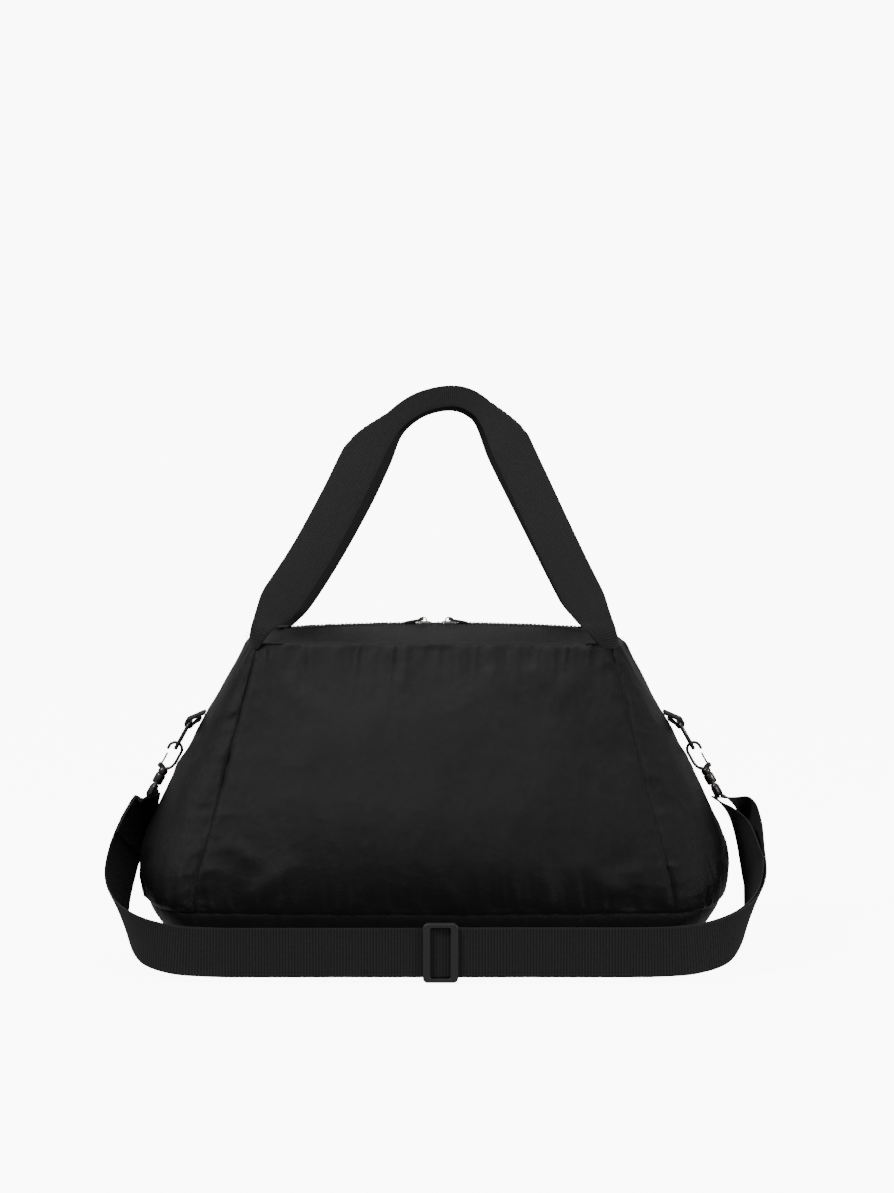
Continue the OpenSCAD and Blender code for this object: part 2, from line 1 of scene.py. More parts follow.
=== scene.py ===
"""Duffel bag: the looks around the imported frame. All lengths are in metres unless a name says mm."""
import math
import bpy
import numpy as np
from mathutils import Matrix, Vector


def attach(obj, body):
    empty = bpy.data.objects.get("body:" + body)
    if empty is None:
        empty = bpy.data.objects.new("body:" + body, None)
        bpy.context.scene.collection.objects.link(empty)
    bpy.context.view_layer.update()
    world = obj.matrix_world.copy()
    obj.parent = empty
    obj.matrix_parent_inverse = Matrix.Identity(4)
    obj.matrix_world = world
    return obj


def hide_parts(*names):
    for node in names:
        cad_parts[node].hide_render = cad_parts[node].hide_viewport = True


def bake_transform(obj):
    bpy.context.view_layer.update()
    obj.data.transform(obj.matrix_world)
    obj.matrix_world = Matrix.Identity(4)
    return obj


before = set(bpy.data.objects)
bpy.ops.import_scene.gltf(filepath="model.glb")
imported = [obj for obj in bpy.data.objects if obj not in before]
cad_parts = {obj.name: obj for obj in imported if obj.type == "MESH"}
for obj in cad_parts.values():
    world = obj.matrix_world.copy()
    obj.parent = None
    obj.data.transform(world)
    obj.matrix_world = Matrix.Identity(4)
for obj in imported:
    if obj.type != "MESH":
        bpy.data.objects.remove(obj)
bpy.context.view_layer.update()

MM = 0.001

# ---------------------------------------------------------------- mesh helpers


def mesh_piece(name, points, faces, material, uvs=None, smooth=True):
    """A mesh object from points in millimetres. uvs, if given, has one pair for each point."""
    mesh = bpy.data.meshes.new(name)
    mesh.from_pydata((np.asarray(points, float) * MM).tolist(), [], [list(map(int, f)) for f in faces])
    if uvs is not None:
        layer = mesh.uv_layers.new(name="UVMap")
        corner = np.empty(len(mesh.loops), np.int32)
        mesh.loops.foreach_get("vertex_index", corner)
        layer.data.foreach_set("uv", np.asarray(uvs, np.float32)[corner].ravel())
    mesh.polygons.foreach_set("use_smooth", [smooth] * len(mesh.polygons))
    mesh.materials.append(material)
    mesh.validate()
    if smooth:
        mesh.set_sharp_from_angle(angle=math.radians(62))
    ob = bpy.data.objects.new(name, mesh)
    bpy.context.scene.collection.objects.link(ob)
    return ob


def grid_faces(nu, nv, first=0, flip=False, closed=False):
    """Squares of a grid with nu points along and nv points up."""
    i = np.arange(nu if closed else nu - 1)
    j = np.arange(nv - 1)
    a = first + (j[:, None] * nu + i[None, :]).ravel()
    b = first + (j[:, None] * nu + ((i + 1) % nu)[None, :]).ravel()
    f = np.stack([a, b, b + nu, a + nu], 1)
    return f[:, ::-1] if flip else f


def slab(name, outer, inner, material, uvs=None, flip=False):
    """A closed sheet between two grids of points, each shaped (rows, columns, 3)."""
    nv, nu = outer.shape[:2]
    n = nu * nv
    edge = np.concatenate([
        np.arange(nu), np.arange(1, nv) * nu + nu - 1,
        (nv - 1) * nu + np.arange(nu - 2, -1, -1), np.arange(nv - 2, 0, -1) * nu,
    ])
    after = np.roll(edge, -1)
    rim = np.stack([edge, edge + n, after + n, after], 1)
    faces = np.concatenate([
        grid_faces(nu, nv, 0, flip), grid_faces(nu, nv, n, not flip), rim[:, ::-1] if flip else rim,
    ])
    both = None if uvs is None else np.concatenate([uvs.reshape(-1, 2)] * 2)
    points = np.concatenate([outer.reshape(-1, 3), inner.reshape(-1, 3)])
    return mesh_piece(name, points, faces, material, both)


def swept(name, rings, material, uvs=None, closed=False):
    """A bar through rings of equal length, shaped (rings, points, 3)."""
    n, k = rings.shape[:2]
    i = np.arange(k)
    rows = np.arange(n if closed else n - 1)
    a = (rows[:, None] * k + i[None, :]).ravel()
    b = (rows[:, None] * k + ((i + 1) % k)[None, :]).ravel()
    up = (((rows + 1) % n)[:, None] * k + i[None, :]).ravel()
    up_next = (((rows + 1) % n)[:, None] * k + ((i + 1) % k)[None, :]).ravel()
    faces = np.stack([a, b, up_next, up], 1).tolist()
    if not closed:
        faces.append(list(range(k))[::-1])
        faces.append([(n - 1) * k + j for j in range(k)])
    flat_uvs = None if uvs is None else uvs.reshape(-1, 2)
    return mesh_piece(name, rings.reshape(-1, 3), faces, material, flat_uvs)


def curve(rows, v):
    """A smooth curve through rows, at places v counted in rows. The CAD uses the same one."""
    rows = np.asarray(rows, float)
    v = np.clip(np.atleast_1d(np.asarray(v, float)), 0, len(rows) - 1)
    i = np.minimum(v.astype(int), len(rows) - 2)
    f = (v - i).reshape(v.shape + (1,) * (rows.ndim - 1))
    p0 = rows[np.maximum(i - 1, 0)]
    p1 = rows[i]
    p2 = rows[i + 1]
    p3 = rows[np.minimum(i + 2, len(rows) - 1)]
    return (2 * p1 + (p2 - p0) * f + (2 * p0 - 5 * p1 + 4 * p2 - p3) * f * f
            + (3 * p1 - p0 - 3 * p2 + p3) * f ** 3) / 2


def ease(f):
    c = np.clip(f, 0, 1)
    return c * c * (3 - 2 * c)


def ripple(x, seed):
    """Smooth random waves about one unit long, between about -1 and 1."""
    values = np.random.RandomState(seed).uniform(-1, 1, 512)
    i = np.floor(x).astype(int)
    f = ease(x - i)
    return values[i % 512] * (1 - f) + values[(i + 1) % 512] * f


# ---------------------------------------------------------------- materials


def new_material(name, colour, roughness, metallic=0.0, specular=0.5, sheen=0.0, coat=0.0):
    """A material with its constant values set on the shader, and its nodes and shader at hand."""
    mat = bpy.data.materials.new(name)
    mat.use_nodes = True
    nodes = mat.node_tree.nodes
    shader = nodes["Principled BSDF"]
    shader.inputs["Base Color"].default_value = (*colour, 1)
    shader.inputs["Roughness"].default_value = roughness
    shader.inputs["Metallic"].default_value = metallic
    shader.inputs["Specular IOR Level"].default_value = specular
    shader.inputs["Sheen Weight"].default_value = sheen
    shader.inputs["Coat Weight"].default_value = coat
    return mat, nodes, mat.node_tree.links, shader


def node(nodes, kind, **values):
    """A node, with its input values set by name; an underscore stands for a space."""
    n = nodes.new(kind)
    for key, value in values.items():
        if key in ("operation", "wave_type", "bands_direction", "wave_profile", "data_type", "blend_type"):
            setattr(n, key, value)
        else:
            n.inputs[key.replace("_", " ")].default_value = value
    return n


def varied_colour(nodes, links, shader, vector, dark, light, scale, detail=6.0):
    """Base colour that drifts between two tones."""
    noise = node(nodes, "ShaderNodeTexNoise", Scale=scale, Detail=detail, Roughness=0.6)
    links.new(vector, noise.inputs["Vector"])
    ramp = nodes.new("ShaderNodeValToRGB")
    ramp.color_ramp.elements[0].position = 0.3
    ramp.color_ramp.elements[1].position = 0.7
    ramp.color_ramp.elements[0].color = (*dark, 1)
    ramp.color_ramp.elements[1].color = (*light, 1)
    links.new(noise.outputs["Fac"], ramp.inputs["Fac"])
    links.new(ramp.outputs["Color"], shader.inputs["Base Color"])
    return noise, ramp


def math_node(nodes, links, operation, a, b):
    n = nodes.new("ShaderNodeMath")
    n.operation = operation
    for socket, value in zip(n.inputs, (a, b)):
        if isinstance(value, (int, float)):
            socket.default_value = value
        else:
            links.new(value, socket)
    return n.outputs[0]


def wave(nodes, links, vector, scale, direction, distortion=0.0):
    n = node(nodes, "ShaderNodeTexWave", wave_type="BANDS", bands_direction=direction, Scale=scale,
             Distortion=distortion, Detail=1.0)
    links.new(vector, n.inputs["Vector"])
    return n.outputs["Fac"]


def bump(nodes, links, shader, height, distance, strength=1.0):
    n = node(nodes, "ShaderNodeBump", Strength=strength, Distance=distance)
    links.new(height, n.inputs["Height"])
    links.new(n.outputs["Normal"], shader.inputs["Normal"])
    return n


def fabric_material(name, dark, light, roughness, thread, depth, sheen):
    """Plain weave drawn by three sets of threads in the bag's own directions, with fine crinkles."""
    mat, nodes, links, shader = new_material(name, light, roughness, specular=0.21, sheen=sheen)
    shader.inputs["Sheen Roughness"].default_value = 0.45
    place = nodes.new("ShaderNodeTexCoord").outputs["Object"]
    varied_colour(nodes, links, shader, place, dark, light, 38.0)
    cycles = 1.0 / thread / 6.2832 * 3.1416
    threads = [wave(nodes, links, place, cycles, d) for d in "XYZ"]
    weave = math_node(nodes, links, "ADD", math_node(nodes, links, "ADD", threads[0], threads[1]), threads[2])
    crinkle = node(nodes, "ShaderNodeTexNoise", Scale=170.0, Detail=5.0, Roughness=0.6, Distortion=0.8)
    links.new(place, crinkle.inputs["Vector"])
    slow = math_node(nodes, links, "MULTIPLY", crinkle.outputs["Fac"], 2.5)
    height = math_node(nodes, links, "ADD", math_node(nodes, links, "MULTIPLY", weave, 0.3), slow)
    bump(nodes, links, shader, height, depth)
    gloss = node(nodes, "ShaderNodeTexNoise", Scale=22.0, Detail=3.0, Roughness=0.5)
    links.new(place, gloss.inputs["Vector"])
    spread = math_node(nodes, links, "MULTIPLY", gloss.outputs["Fac"], 0.16)
    links.new(math_node(nodes, links, "ADD", spread, roughness - 0.08), shader.inputs["Roughness"])
    return mat


def webbing_material(name, dark, light, roughness, rib, yarn, depth):
    """Woven tape: ribs across it and yarns along it, rib and yarn metres apart on the piece's UVs."""
    mat, nodes, links, shader = new_material(name, light, roughness, specular=0.2, sheen=0.02)
    shader.inputs["Sheen Roughness"].default_value = 0.5
    uv = nodes.new("ShaderNodeTexCoord").outputs["UV"]
    place = nodes.new("ShaderNodeTexCoord").outputs["Object"]
    noise, ramp = varied_colour(nodes, links, shader, place, dark, light, 420.0, 3.0)
    ribs = wave(nodes, links, uv, 3.1416 / rib / 10, "X")
    shade = math_node(nodes, links, "MULTIPLY", ribs, 0.55)
    mottle = math_node(nodes, links, "MULTIPLY", noise.outputs["Fac"], 0.45)
    links.new(math_node(nodes, links, "ADD", shade, mottle), ramp.inputs["Fac"])
    yarns = wave(nodes, links, uv, 3.1416 / yarn / 10, "Y")
    fuzz = node(nodes, "ShaderNodeTexNoise", Scale=1600.0, Detail=2.0)
    links.new(place, fuzz.inputs["Vector"])
    weave = math_node(nodes, links, "MULTIPLY", ribs, yarns)
    fluff = math_node(nodes, links, "MULTIPLY", fuzz.outputs["Fac"], 0.35)
    height = math_node(nodes, links, "ADD", weave, fluff)
    bump(nodes, links, shader, height, depth)
    return mat


def metal_material(name, colour, roughness, metallic=1.0, wear=0.12, coat=0.0):
    mat, nodes, links, shader = new_material(name, colour, roughness, metallic=metallic, coat=coat)
    place = nodes.new("ShaderNodeTexCoord").outputs["Object"]
    smear = node(nodes, "ShaderNodeTexNoise", Scale=260.0, Detail=4.0)
    links.new(place, smear.inputs["Vector"])
    spread = math_node(nodes, links, "MULTIPLY", smear.outputs["Fac"], wear)
    links.new(math_node(nodes, links, "ADD", spread, roughness - wear / 2), shader.inputs["Roughness"])
    grain = node(nodes, "ShaderNodeTexNoise", Scale=900.0, Detail=2.0)
    links.new(place, grain.inputs["Vector"])
    bump(nodes, links, shader, grain.outputs["Fac"], 0.00004)
    return mat


SHELL = fabric_material(
    "shell_fabric", (0.0031, 0.0031, 0.0033), (0.0046, 0.0046, 0.0048), 0.4, 0.0005, 0.00012, 0.0)
HANDLE_WEB = webbing_material(
    "handle_webbing", (0.011, 0.011, 0.0115), (0.0245, 0.0245, 0.025), 0.62, 0.0016, 0.0011, 0.00016)
STRAP_WEB = webbing_material(
    "strap_webbing", (0.009, 0.009, 0.0095), (0.025, 0.025, 0.0255), 0.6, 0.0023, 0.0014, 0.0002)
BINDING = webbing_material(
    "binding_tape", (0.009, 0.009, 0.009), (0.014, 0.014, 0.014), 0.7, 0.0012, 0.0012, 0.0001)
ZIP_TAPE = webbing_material(
    "zip_tape", (0.007, 0.007, 0.007), (0.010, 0.010, 0.010), 0.7, 0.0009, 0.0009, 0.0001)
THREAD = new_material("sewing_thread", (0.016, 0.016, 0.0165), 0.6, specular=0.2)[0]
COIL = metal_material("zip_coil", (0.010, 0.010, 0.010), 0.4, metallic=0.0)
NICKEL = metal_material("nickel", (0.36, 0.35, 0.33), 0.24)
ENAMEL = metal_material("pull_enamel", (0.011, 0.011, 0.011), 0.32, metallic=0.0, coat=0.3)
GUNMETAL = metal_material("gunmetal", (0.085, 0.078, 0.074), 0.28, metallic=0.9)
PLASTIC = metal_material("slider_plastic", (0.024, 0.022, 0.022), 0.4, metallic=0.0)

# ---------------------------------------------------------------- the bag's shape, as in the CAD

BASE_SEAM_Z = 48.0
TOP_SEAM_Z = 249.6
SECTIONS = np.array([
    [0, 184, 150, 76, 4],
    [6, 196, 162, 87, 5],
    [22, 209, 175, 98, 7],
    [BASE_SEAM_Z, 227, 184, 103, 8],
    [72, 232, 182, 102, 12],
    [95, 228, 176, 97, 15],
    [124, 215.5, 169, 88, 17],
    [154, 200.5, 161.5, 77, 16],
    [185, 183, 154, 66, 13],
    [218, 165, 146, 54, 7],
    [TOP_SEAM_Z, 148, 137, 43, 0],
])
SEAM_ROW = 3
TOP_ROW = len(SECTIONS) - 1
END_SQUARENESS = 2.3
CLOTH = 0.7


def on_section(v, q, inset=0.0):
    """Points on the bag: v counts sections upwards, and q runs round from the front's left corner."""
    v, q = np.broadcast_arrays(np.asarray(v, float), np.asarray(q, float))
    z, a, xs, ys, bulge = np.moveaxis(curve(SECTIONS, v.ravel()).reshape(v.shape + (5,)), -1, 0)
    a = a - inset
    xs = xs - 0.9 * inset
    ys = ys - inset
    side = np.floor(np.clip(q, 0, 3.999999)).astype(int)
    f = q - side
    u = 2 * f - 1
    t = np.pi * f - np.pi / 2

    def rounded(c):
        return np.sign(c) * np.abs(c) ** (2 / END_SQUARENESS)

    flat_x = xs * u
    flat_y = -ys - bulge * (1 - u * u)
    end_x = xs + (a - xs) * rounded(np.cos(t))
    end_y = ys * rounded(np.sin(t))
    turn = np.where(side >= 2, -1, 1)
    x = np.where(side % 2 == 0, flat_x, end_x) * turn
    y = np.where(side % 2 == 0, flat_y, end_y) * turn
    return np.stack([x, y, z], -1)


def normals_of(p):
    """Outward normals of a grid of points whose columns run to the left round the bag and rows run up."""
    du = np.gradient(p, axis=1)
    dv = np.gradient(p, axis=0)
    n = np.cross(du, dv)
    return n / np.maximum(np.linalg.norm(n, axis=2, keepdims=True), 1e-9)


def creases(along, away, seed, pitch, depth, reach, slant=0.15):
    """Sharp-crested puckers that start at a seam and die out away from it, in millimetres."""
    warped = along + slant * away * ripple(along / 55.0, seed + 7)
    crest = 1 - 2 * np.abs(ripple(warped / pitch, seed)) ** 0.8
    fine = 0.6 * crest + 0.4 * ripple(warped / (0.45 * pitch), seed + 1)
    strength = 0.35 + 0.65 * np.abs(ripple(along / 42.0, seed + 2))
    length = reach * (0.4 + 1.1 * np.abs(ripple(along / 14.0, seed + 3)))
    return depth * fine * strength * np.exp(-(away / length) ** 1.3)


def noise2(x, y, seed):
    """Smooth random hills about one unit wide, between about -1 and 1."""
    values = np.random.RandomState(seed).uniform(-1, 1, (64, 64))
    i, j = np.floor(x).astype(int), np.floor(y).astype(int)
    f, g = ease(x - i), ease(y - j)
    low = values[i % 64, j % 64] * (1 - f) + values[(i + 1) % 64, j % 64] * f
    high = values[i % 64, (j + 1) % 64] * (1 - f) + values[(i + 1) % 64, (j + 1) % 64] * f
    return low * (1 - g) + high * g


def crumple(x, z, seed):
    """Thin nylon's crumples: warped ridges of three sizes, in millimetres."""
    bend_x = 16 * noise2(x / 48, z / 48, seed)
    bend_z = 16 * noise2(x / 48 + 9, z / 48, seed + 1)
    total = 0
    for k, (size, depth) in enumerate(((50, 1.9), (24, 0.95), (11, 0.36))):
        total += depth * (0.5 - np.abs(noise2((x + bend_x) / size, (z + bend_z) / size * 0.75, seed + 3 + k)))
    return total


def broad_folds(x, z, seed, size, depth):
    """Slow slanting waves over a panel."""
    rng = np.random.RandomState(seed)
    total = np.zeros_like(x)
    for k in range(7):
        angle = rng.uniform(0, np.pi)
        length = size * rng.uniform(0.6, 1.5)
        shift = rng.uniform(0, 6.28)
        total += np.sin((x * np.cos(angle) + z * np.sin(angle)) / length * 6.28 + shift
                        + 1.3 * np.sin(x / size * 2.1 + k))
    return depth * total / 7


def ridge_line(x, z, start, end, width, depth):
    """One long soft fold between two places on a panel."""
    d = np.array(end, float) - np.array(start, float)
    length = np.hypot(*d)
    d /= length
    s = ((x - start[0]) * d[0] + (z - start[1]) * d[1]) / length
    away = (x - start[0]) * -d[1] + (z - start[1]) * d[0]
    return depth * np.exp(-(away / width) ** 2) * ease(s * 4) * ease((1 - s) * 2)


def wall_points(q0, q1, nu, nv, seed, folds):
    """A wall panel with its puckers and folds: returns the outer and inner grids and UVs in metres."""
    v = np.linspace(SEAM_ROW, TOP_ROW, nv)[:, None]
    q = np.linspace(q0, q1, nu)[None, :]
    p = on_section(v, q)
    n = normals_of(p)
    step = np.linalg.norm(np.diff(p, axis=1), axis=2)
    along = np.concatenate([np.zeros((nv, 1)), np.cumsum(step, axis=1)], axis=1)
    rise = np.linalg.norm(np.diff(p, axis=0), axis=2)
    up = np.concatenate([np.zeros((1, nu)), np.cumsum(rise, axis=0)], axis=0)
    left, right = along, along[:, -1:] - along
    low, high = up, up[-1:] - up
    centred = along - along[:, -1:] / 2
    out = creases(centred, high, seed, 9, 2.3, 21)
    out += creases(centred, low, seed + 20, 10, 2.4, 23)
    out += creases(up, left, seed + 40, 14, 1.7, 16, 0.4)
    out += creases(up, right, seed + 60, 14, 1.7, 16, 0.4)
    out += broad_folds(centred, up, seed + 80, 90, 1.3)
    near = np.minimum(np.minimum(left, right), np.minimum(low, high))
    out += crumple(centred, up, seed + 90) * (0.35 + 0.9 * np.exp(-near / 38))
    for f in folds:
        out += ridge_line(centred, up, *f)
    out *= ease(near / 5.0) * 0.92 + 0.08
    out -= 0.8 * np.exp(-near / 1.5)
    out = np.minimum(out, 3.5)
    outer = p + n * out[..., None]
    inner = outer - n * CLOTH
    uvs = np.stack([centred, up], -1) * MM
    return outer, inner, uvs


FRONT_FOLDS = [
    ((-150, 6), (-95, 48), 9, 1.6), ((-168, 60), (-120, 30), 8, 1.3), ((150, 10), (100, 52), 9, 1.6),
    ((162, 48), (110, 26), 8, -1.2), ((-118, 196), (-92, 150), 8, 1.4), ((118, 196), (84, 156), 9, 1.4),
    ((40, 200), (66, 168), 7, 1.2), ((70, 202), (104, 170), 6, 1.1), ((-60, 2), (-48, 34), 7, 1.0),
    ((20, 2), (8, 30), 6, 0.9), ((92, 2), (84, 40), 7, 1.1), ((-20, 202), (-30, 176), 6, 0.9),
]
END_FOLDS = [
    ((-60, 8), (20, 60), 9, 1.5), ((60, 10), (0, 70), 9, 1.5), ((-10, 120), (-60, 84), 8, 1.3),
    ((10, 120), (62, 90), 8, 1.3), ((0, 130), (-34, 180), 7, 1.2), ((6, 132), (36, 176), 7, 1.2),
    ((-70, 40), (-20, 30), 7, -1.1), ((74, 44), (26, 24), 7, -1.1),
]


def wall_piece(name, node_name, q0, q1, nu, nv, seed, folds):
    outer, inner, uvs = wall_points(q0, q1, nu, nv, seed, folds)
    ob = slab(name, outer, inner, SHELL, uvs)
    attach(ob, "shell")
    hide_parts(node_name)
    return ob


FINE = 1
PANEL_NU, END_NU, WALL_NV = 260 // FINE, 220 // FINE, 160 // FINE
BACK_FOLDS = FRONT_FOLDS[::2] + END_FOLDS[:3]
wall_piece("front_panel_cloth", "front_panel", 0, 1, PANEL_NU, WALL_NV, 11, FRONT_FOLDS)
wall_piece("back_panel_cloth", "back_panel", 2, 3, PANEL_NU, WALL_NV, 211, BACK_FOLDS)
wall_piece("right_end_cloth", "right_end_panel", 1, 2, END_NU, WALL_NV, 311, END_FOLDS)
wall_piece("left_end_cloth", "left_end_panel", 3, 4, END_NU, WALL_NV, 411, END_FOLDS)


def base_piece():
    """The base: a shallow tray that flattens where it stands, puckered at its seam."""
    around, rows = 560 // FINE, 46
    v = SEAM_ROW * (1 - np.linspace(0, 1, rows)[:, None])
    q = (4 * np.arange(around) / around)[None, :]
    p = on_section(v, q)
    down = np.linspace(0, 1, rows)[:, None] * 55
    length = np.linalg.norm(np.roll(p[0], -1, 0) - p[0], axis=1)
    along = np.cumsum(length)[None, :] + 0 * down
    n = np.cross(np.roll(p, -1, 1) - np.roll(p, 1, 1), -np.gradient(p, axis=0))
    n /= np.maximum(np.linalg.norm(n, axis=2, keepdims=True), 1e-9)
    out = creases(along, down, 511, 13, 0.9, 16) - 1.5 * np.exp(-down / 2.2)
    out *= ease((55 - down) / 30)
    outer = p + n * out[..., None]
    outer[..., 2] = np.maximum(outer[..., 2], 0.0)
    centre_rows = [outer[-1] * [f, f, 0] for f in np.linspace(0.9, 0.1, 9)]
    outer = np.concatenate([outer, np.array(centre_rows)])
    scale = (BASE_SEAM_Z - CLOTH) / BASE_SEAM_Z
    flat_len = np.maximum(np.linalg.norm(outer[..., :2], axis=2, keepdims=True), 1)
    inner = outer.copy()
    inner[..., :2] -= outer[..., :2] / flat_len * CLOTH
    inner[..., 2] = BASE_SEAM_Z - (BASE_SEAM_Z - outer[..., 2]) * scale
    rows = outer.shape[0]
    n1 = rows * around
    pts = np.concatenate([outer.reshape(-1, 3), inner.reshape(-1, 3), [[0, 0, 0], [0, 0, CLOTH]]])
    i = np.arange(around)
    j = (i + 1) % around
    last = (rows - 1) * around
    faces = np.concatenate([
        grid_faces(around, rows, 0, True, True), grid_faces(around, rows, n1, False, True),
        np.stack([j, i, i + n1, j + n1], 1)[:, ::-1],
    ]).tolist()
    faces += [[last + a, last + b, 2 * n1][::-1] for a, b in zip(i, j)]
    faces += [[n1 + last + a, n1 + last + b, 2 * n1 + 1] for a, b in zip(i, j)]
    ob = mesh_piece("base_panel_cloth", pts, faces, SHELL)
    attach(ob, "shell")
    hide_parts("base_panel")


base_piece()


# ---------------------------------------------------------------- small parts


def along_line(points, pitch):
    """Places every pitch along a line of points, and the direction there."""
    points = np.asarray(points, float)
    step = np.linalg.norm(np.diff(points, axis=0), axis=1)
    s = np.concatenate([[0], np.cumsum(step)])
    at = np.arange(pitch / 2, s[-1], pitch)
    place = np.stack([np.interp(at, s, points[:, k]) for k in range(3)], 1)
    ahead = np.stack([np.interp(at + 0.4 * pitch, s, points[:, k]) for k in range(3)], 1)
    behind = np.stack([np.interp(at - 0.4 * pitch, s, points[:, k]) for k in range(3)], 1)
    way = ahead - behind
    return place, way / np.maximum(np.linalg.norm(way, axis=1, keepdims=True), 1e-9)


def stitches(name, lines, body, material=None, pitch=3.2, length=2.3, radius=0.26):
    """Rows of short threads, each a tapered six-sided bar, along lines of points in millimetres."""
    points, faces = [], []
    shape = [(-0.5, 0.35), (-0.3, 1.0), (0.3, 1.0), (0.5, 0.35)]
    for line in lines:
        place, way = along_line(line, pitch)
        for p, t in zip(place, way):
            side = np.cross(t, [0.12, 0.33, 0.94])
            side /= np.linalg.norm(side)
            up = np.cross(t, side)
            first = len(points)
            for at, size in shape:
                for k in range(6):
                    a = k * math.pi / 3
                    spoke = side * math.cos(a) + up * math.sin(a)
                    points.append(p + t * at * length + spoke * radius * size)
            for j in range(3):
                for k in range(6):
                    a, b = first + j * 6 + k, first + j * 6 + (k + 1) % 6
                    faces.append((a, b, b + 6, a + 6))
            faces.append(tuple(first + k for k in range(5, -1, -1)))
            faces.append(tuple(first + 18 + k for k in range(6)))
    ob = mesh_piece(name, points, faces, material or THREAD)
    if body:
        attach(ob, body)
    return ob


def frames_along(points, closed=False):
    """Tangents of a line of points."""
    points = np.asarray(points, float)
    if closed:
        t = np.roll(points, -1, 0) - np.roll(points, 1, 0)
    else:
        t = np.gradient(points, axis=0)
    return t / np.maximum(np.linalg.norm(t, axis=1, keepdims=True), 1e-9)


def rod_rings(points, across, half_a, half_b, sides=12, closed=False, power=2.0):
    """Rings of an oval bar: half_a lies along the bar's in-plane side and half_b along across."""
    points = np.asarray(points, float)
    t = frames_along(points, closed)
    across = np.broadcast_to(np.asarray(across, float), points.shape)
    side = np.cross(across, t)
    side /= np.maximum(np.linalg.norm(side, axis=1, keepdims=True), 1e-9)
    a = 2 * np.pi * np.arange(sides) / sides
    c = np.sign(np.cos(a)) * np.abs(np.cos(a)) ** (2 / power)
    s = np.sign(np.sin(a)) * np.abs(np.sin(a)) ** (2 / power)
    half_a = np.broadcast_to(half_a, len(points))[:, None, None]
    half_b = np.broadcast_to(half_b, len(points))[:, None, None]
    return (points[:, None] + side[:, None] * c[None, :, None] * half_a
            + across[:, None] * s[None, :, None] * half_b)


def smooth_line(points, count):
    """A smooth curve of count points through a few."""
    return curve(np.asarray(points, float), np.linspace(0, len(points) - 1, count))


def join(name, parts):
    """Joins mesh objects into the first."""
    with bpy.context.temp_override(
            active_object=parts[0], selected_editable_objects=parts, selected_objects=parts):
        bpy.ops.object.join()
    parts[0].name = name
    return parts[0]


def bevel(ob, width, segments=3, angle=40):
    mod = ob.modifiers.new("bevel", "BEVEL")
    mod.width = width * MM
    mod.segments = segments
    mod.limit_method = "ANGLE"
    mod.angle_limit = math.radians(angle)
    with bpy.context.temp_override(object=ob, active_object=ob):
        bpy.ops.object.modifier_apply(modifier=mod.name)
    ob.data.polygons.foreach_set("use_smooth", [True] * len(ob.data.polygons))
    return ob


def prism(name, outline, low, high, material, hole=None):
    """A plate between two heights from an outline, with a hole of as many points as the outline, if given."""
    outline = np.asarray(outline, float)
    n = len(outline)
    if hole is None:
        pts = np.concatenate([np.c_[outline, np.full(n, low)], np.c_[outline, np.full(n, high)]])
        faces = [tuple(range(n))[::-1], tuple(range(n, 2 * n))]
        faces += [(i, (i + 1) % n, n + (i + 1) % n, n + i) for i in range(n)]
        return mesh_piece(name, pts, faces, material)
    pts = np.concatenate([np.c_[line, np.full(n, z)] for z in (low, high) for line in (outline, hole)])
    i = np.arange(n)
    j = (i + 1) % n
    faces = np.concatenate([
        np.stack([i, i + n, j + n, j], 1), np.stack([i + 2 * n, j + 2 * n, j + 3 * n, i + 3 * n], 1),
        np.stack([i, j, j + 2 * n, i + 2 * n], 1), np.stack([i + n, i + 3 * n, j + 3 * n, j + n], 1),
    ])
    return mesh_piece(name, pts, faces, material)


def rounded_box_outline(w, h, r, per_corner=6):
    """The outline of a rectangle with round corners, anticlockwise."""
    pts = []
    for k, (sx, sy) in enumerate(((1, 1), (-1, 1), (-1, -1), (1, -1))):
        for m in range(per_corner):
            a = math.pi / 2 * (k + m / (per_corner - 1))
            pts.append((sx * (w / 2 - r) + r * math.cos(a), sy * (h / 2 - r) + r * math.sin(a)))
    return np.array(pts)


def place_mesh(ob, matrix_rows, offset):
    """Turns and moves a mesh's own points: new = rows . old + offset, in millimetres."""
    mesh = ob.data
    co = np.empty(len(mesh.vertices) * 3, np.float32)
    mesh.vertices.foreach_get("co", co)
    co = co.reshape(-1, 3) @ np.asarray(matrix_rows, float).T + np.asarray(offset, float) * MM
    mesh.vertices.foreach_set("co", co.astype(np.float32).ravel())
    mesh.update()
    return ob


# ---------------------------------------------------------------- the top: facings, zip and ends

ZIP_HALF = 118.0
RIDGE_Z = 262.0
RIDGE_DROP = 3.5
HINGE_Y = 41.0
FACING_EDGE = 7.5
ZIP_MIDDLE = 1.25
SLIDER_APART = 10.75
TEETH_R = 1.3
WORD_OF_SIDE = {-1: "front", 1: "rear"}
WORD_OF_END = {-1: "left", 1: "right"}


def ridge(x):
    return RIDGE_Z - RIDGE_DROP * (np.abs(x) / ZIP_HALF) ** 2


def parting(x):
    """How far the rows part round the sliders' wedges."""
    return 1.6 * ease((SLIDER_APART + 1 - np.abs(x - ZIP_MIDDLE)) / 4)


def mouth(ob, side, end, *nodes):
    """Half of something beside the zip: bakes its placement into its mesh and hides the CAD nodes it
    replaces, if any are given.
    """
    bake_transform(ob)
    if nodes:
        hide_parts(*nodes)


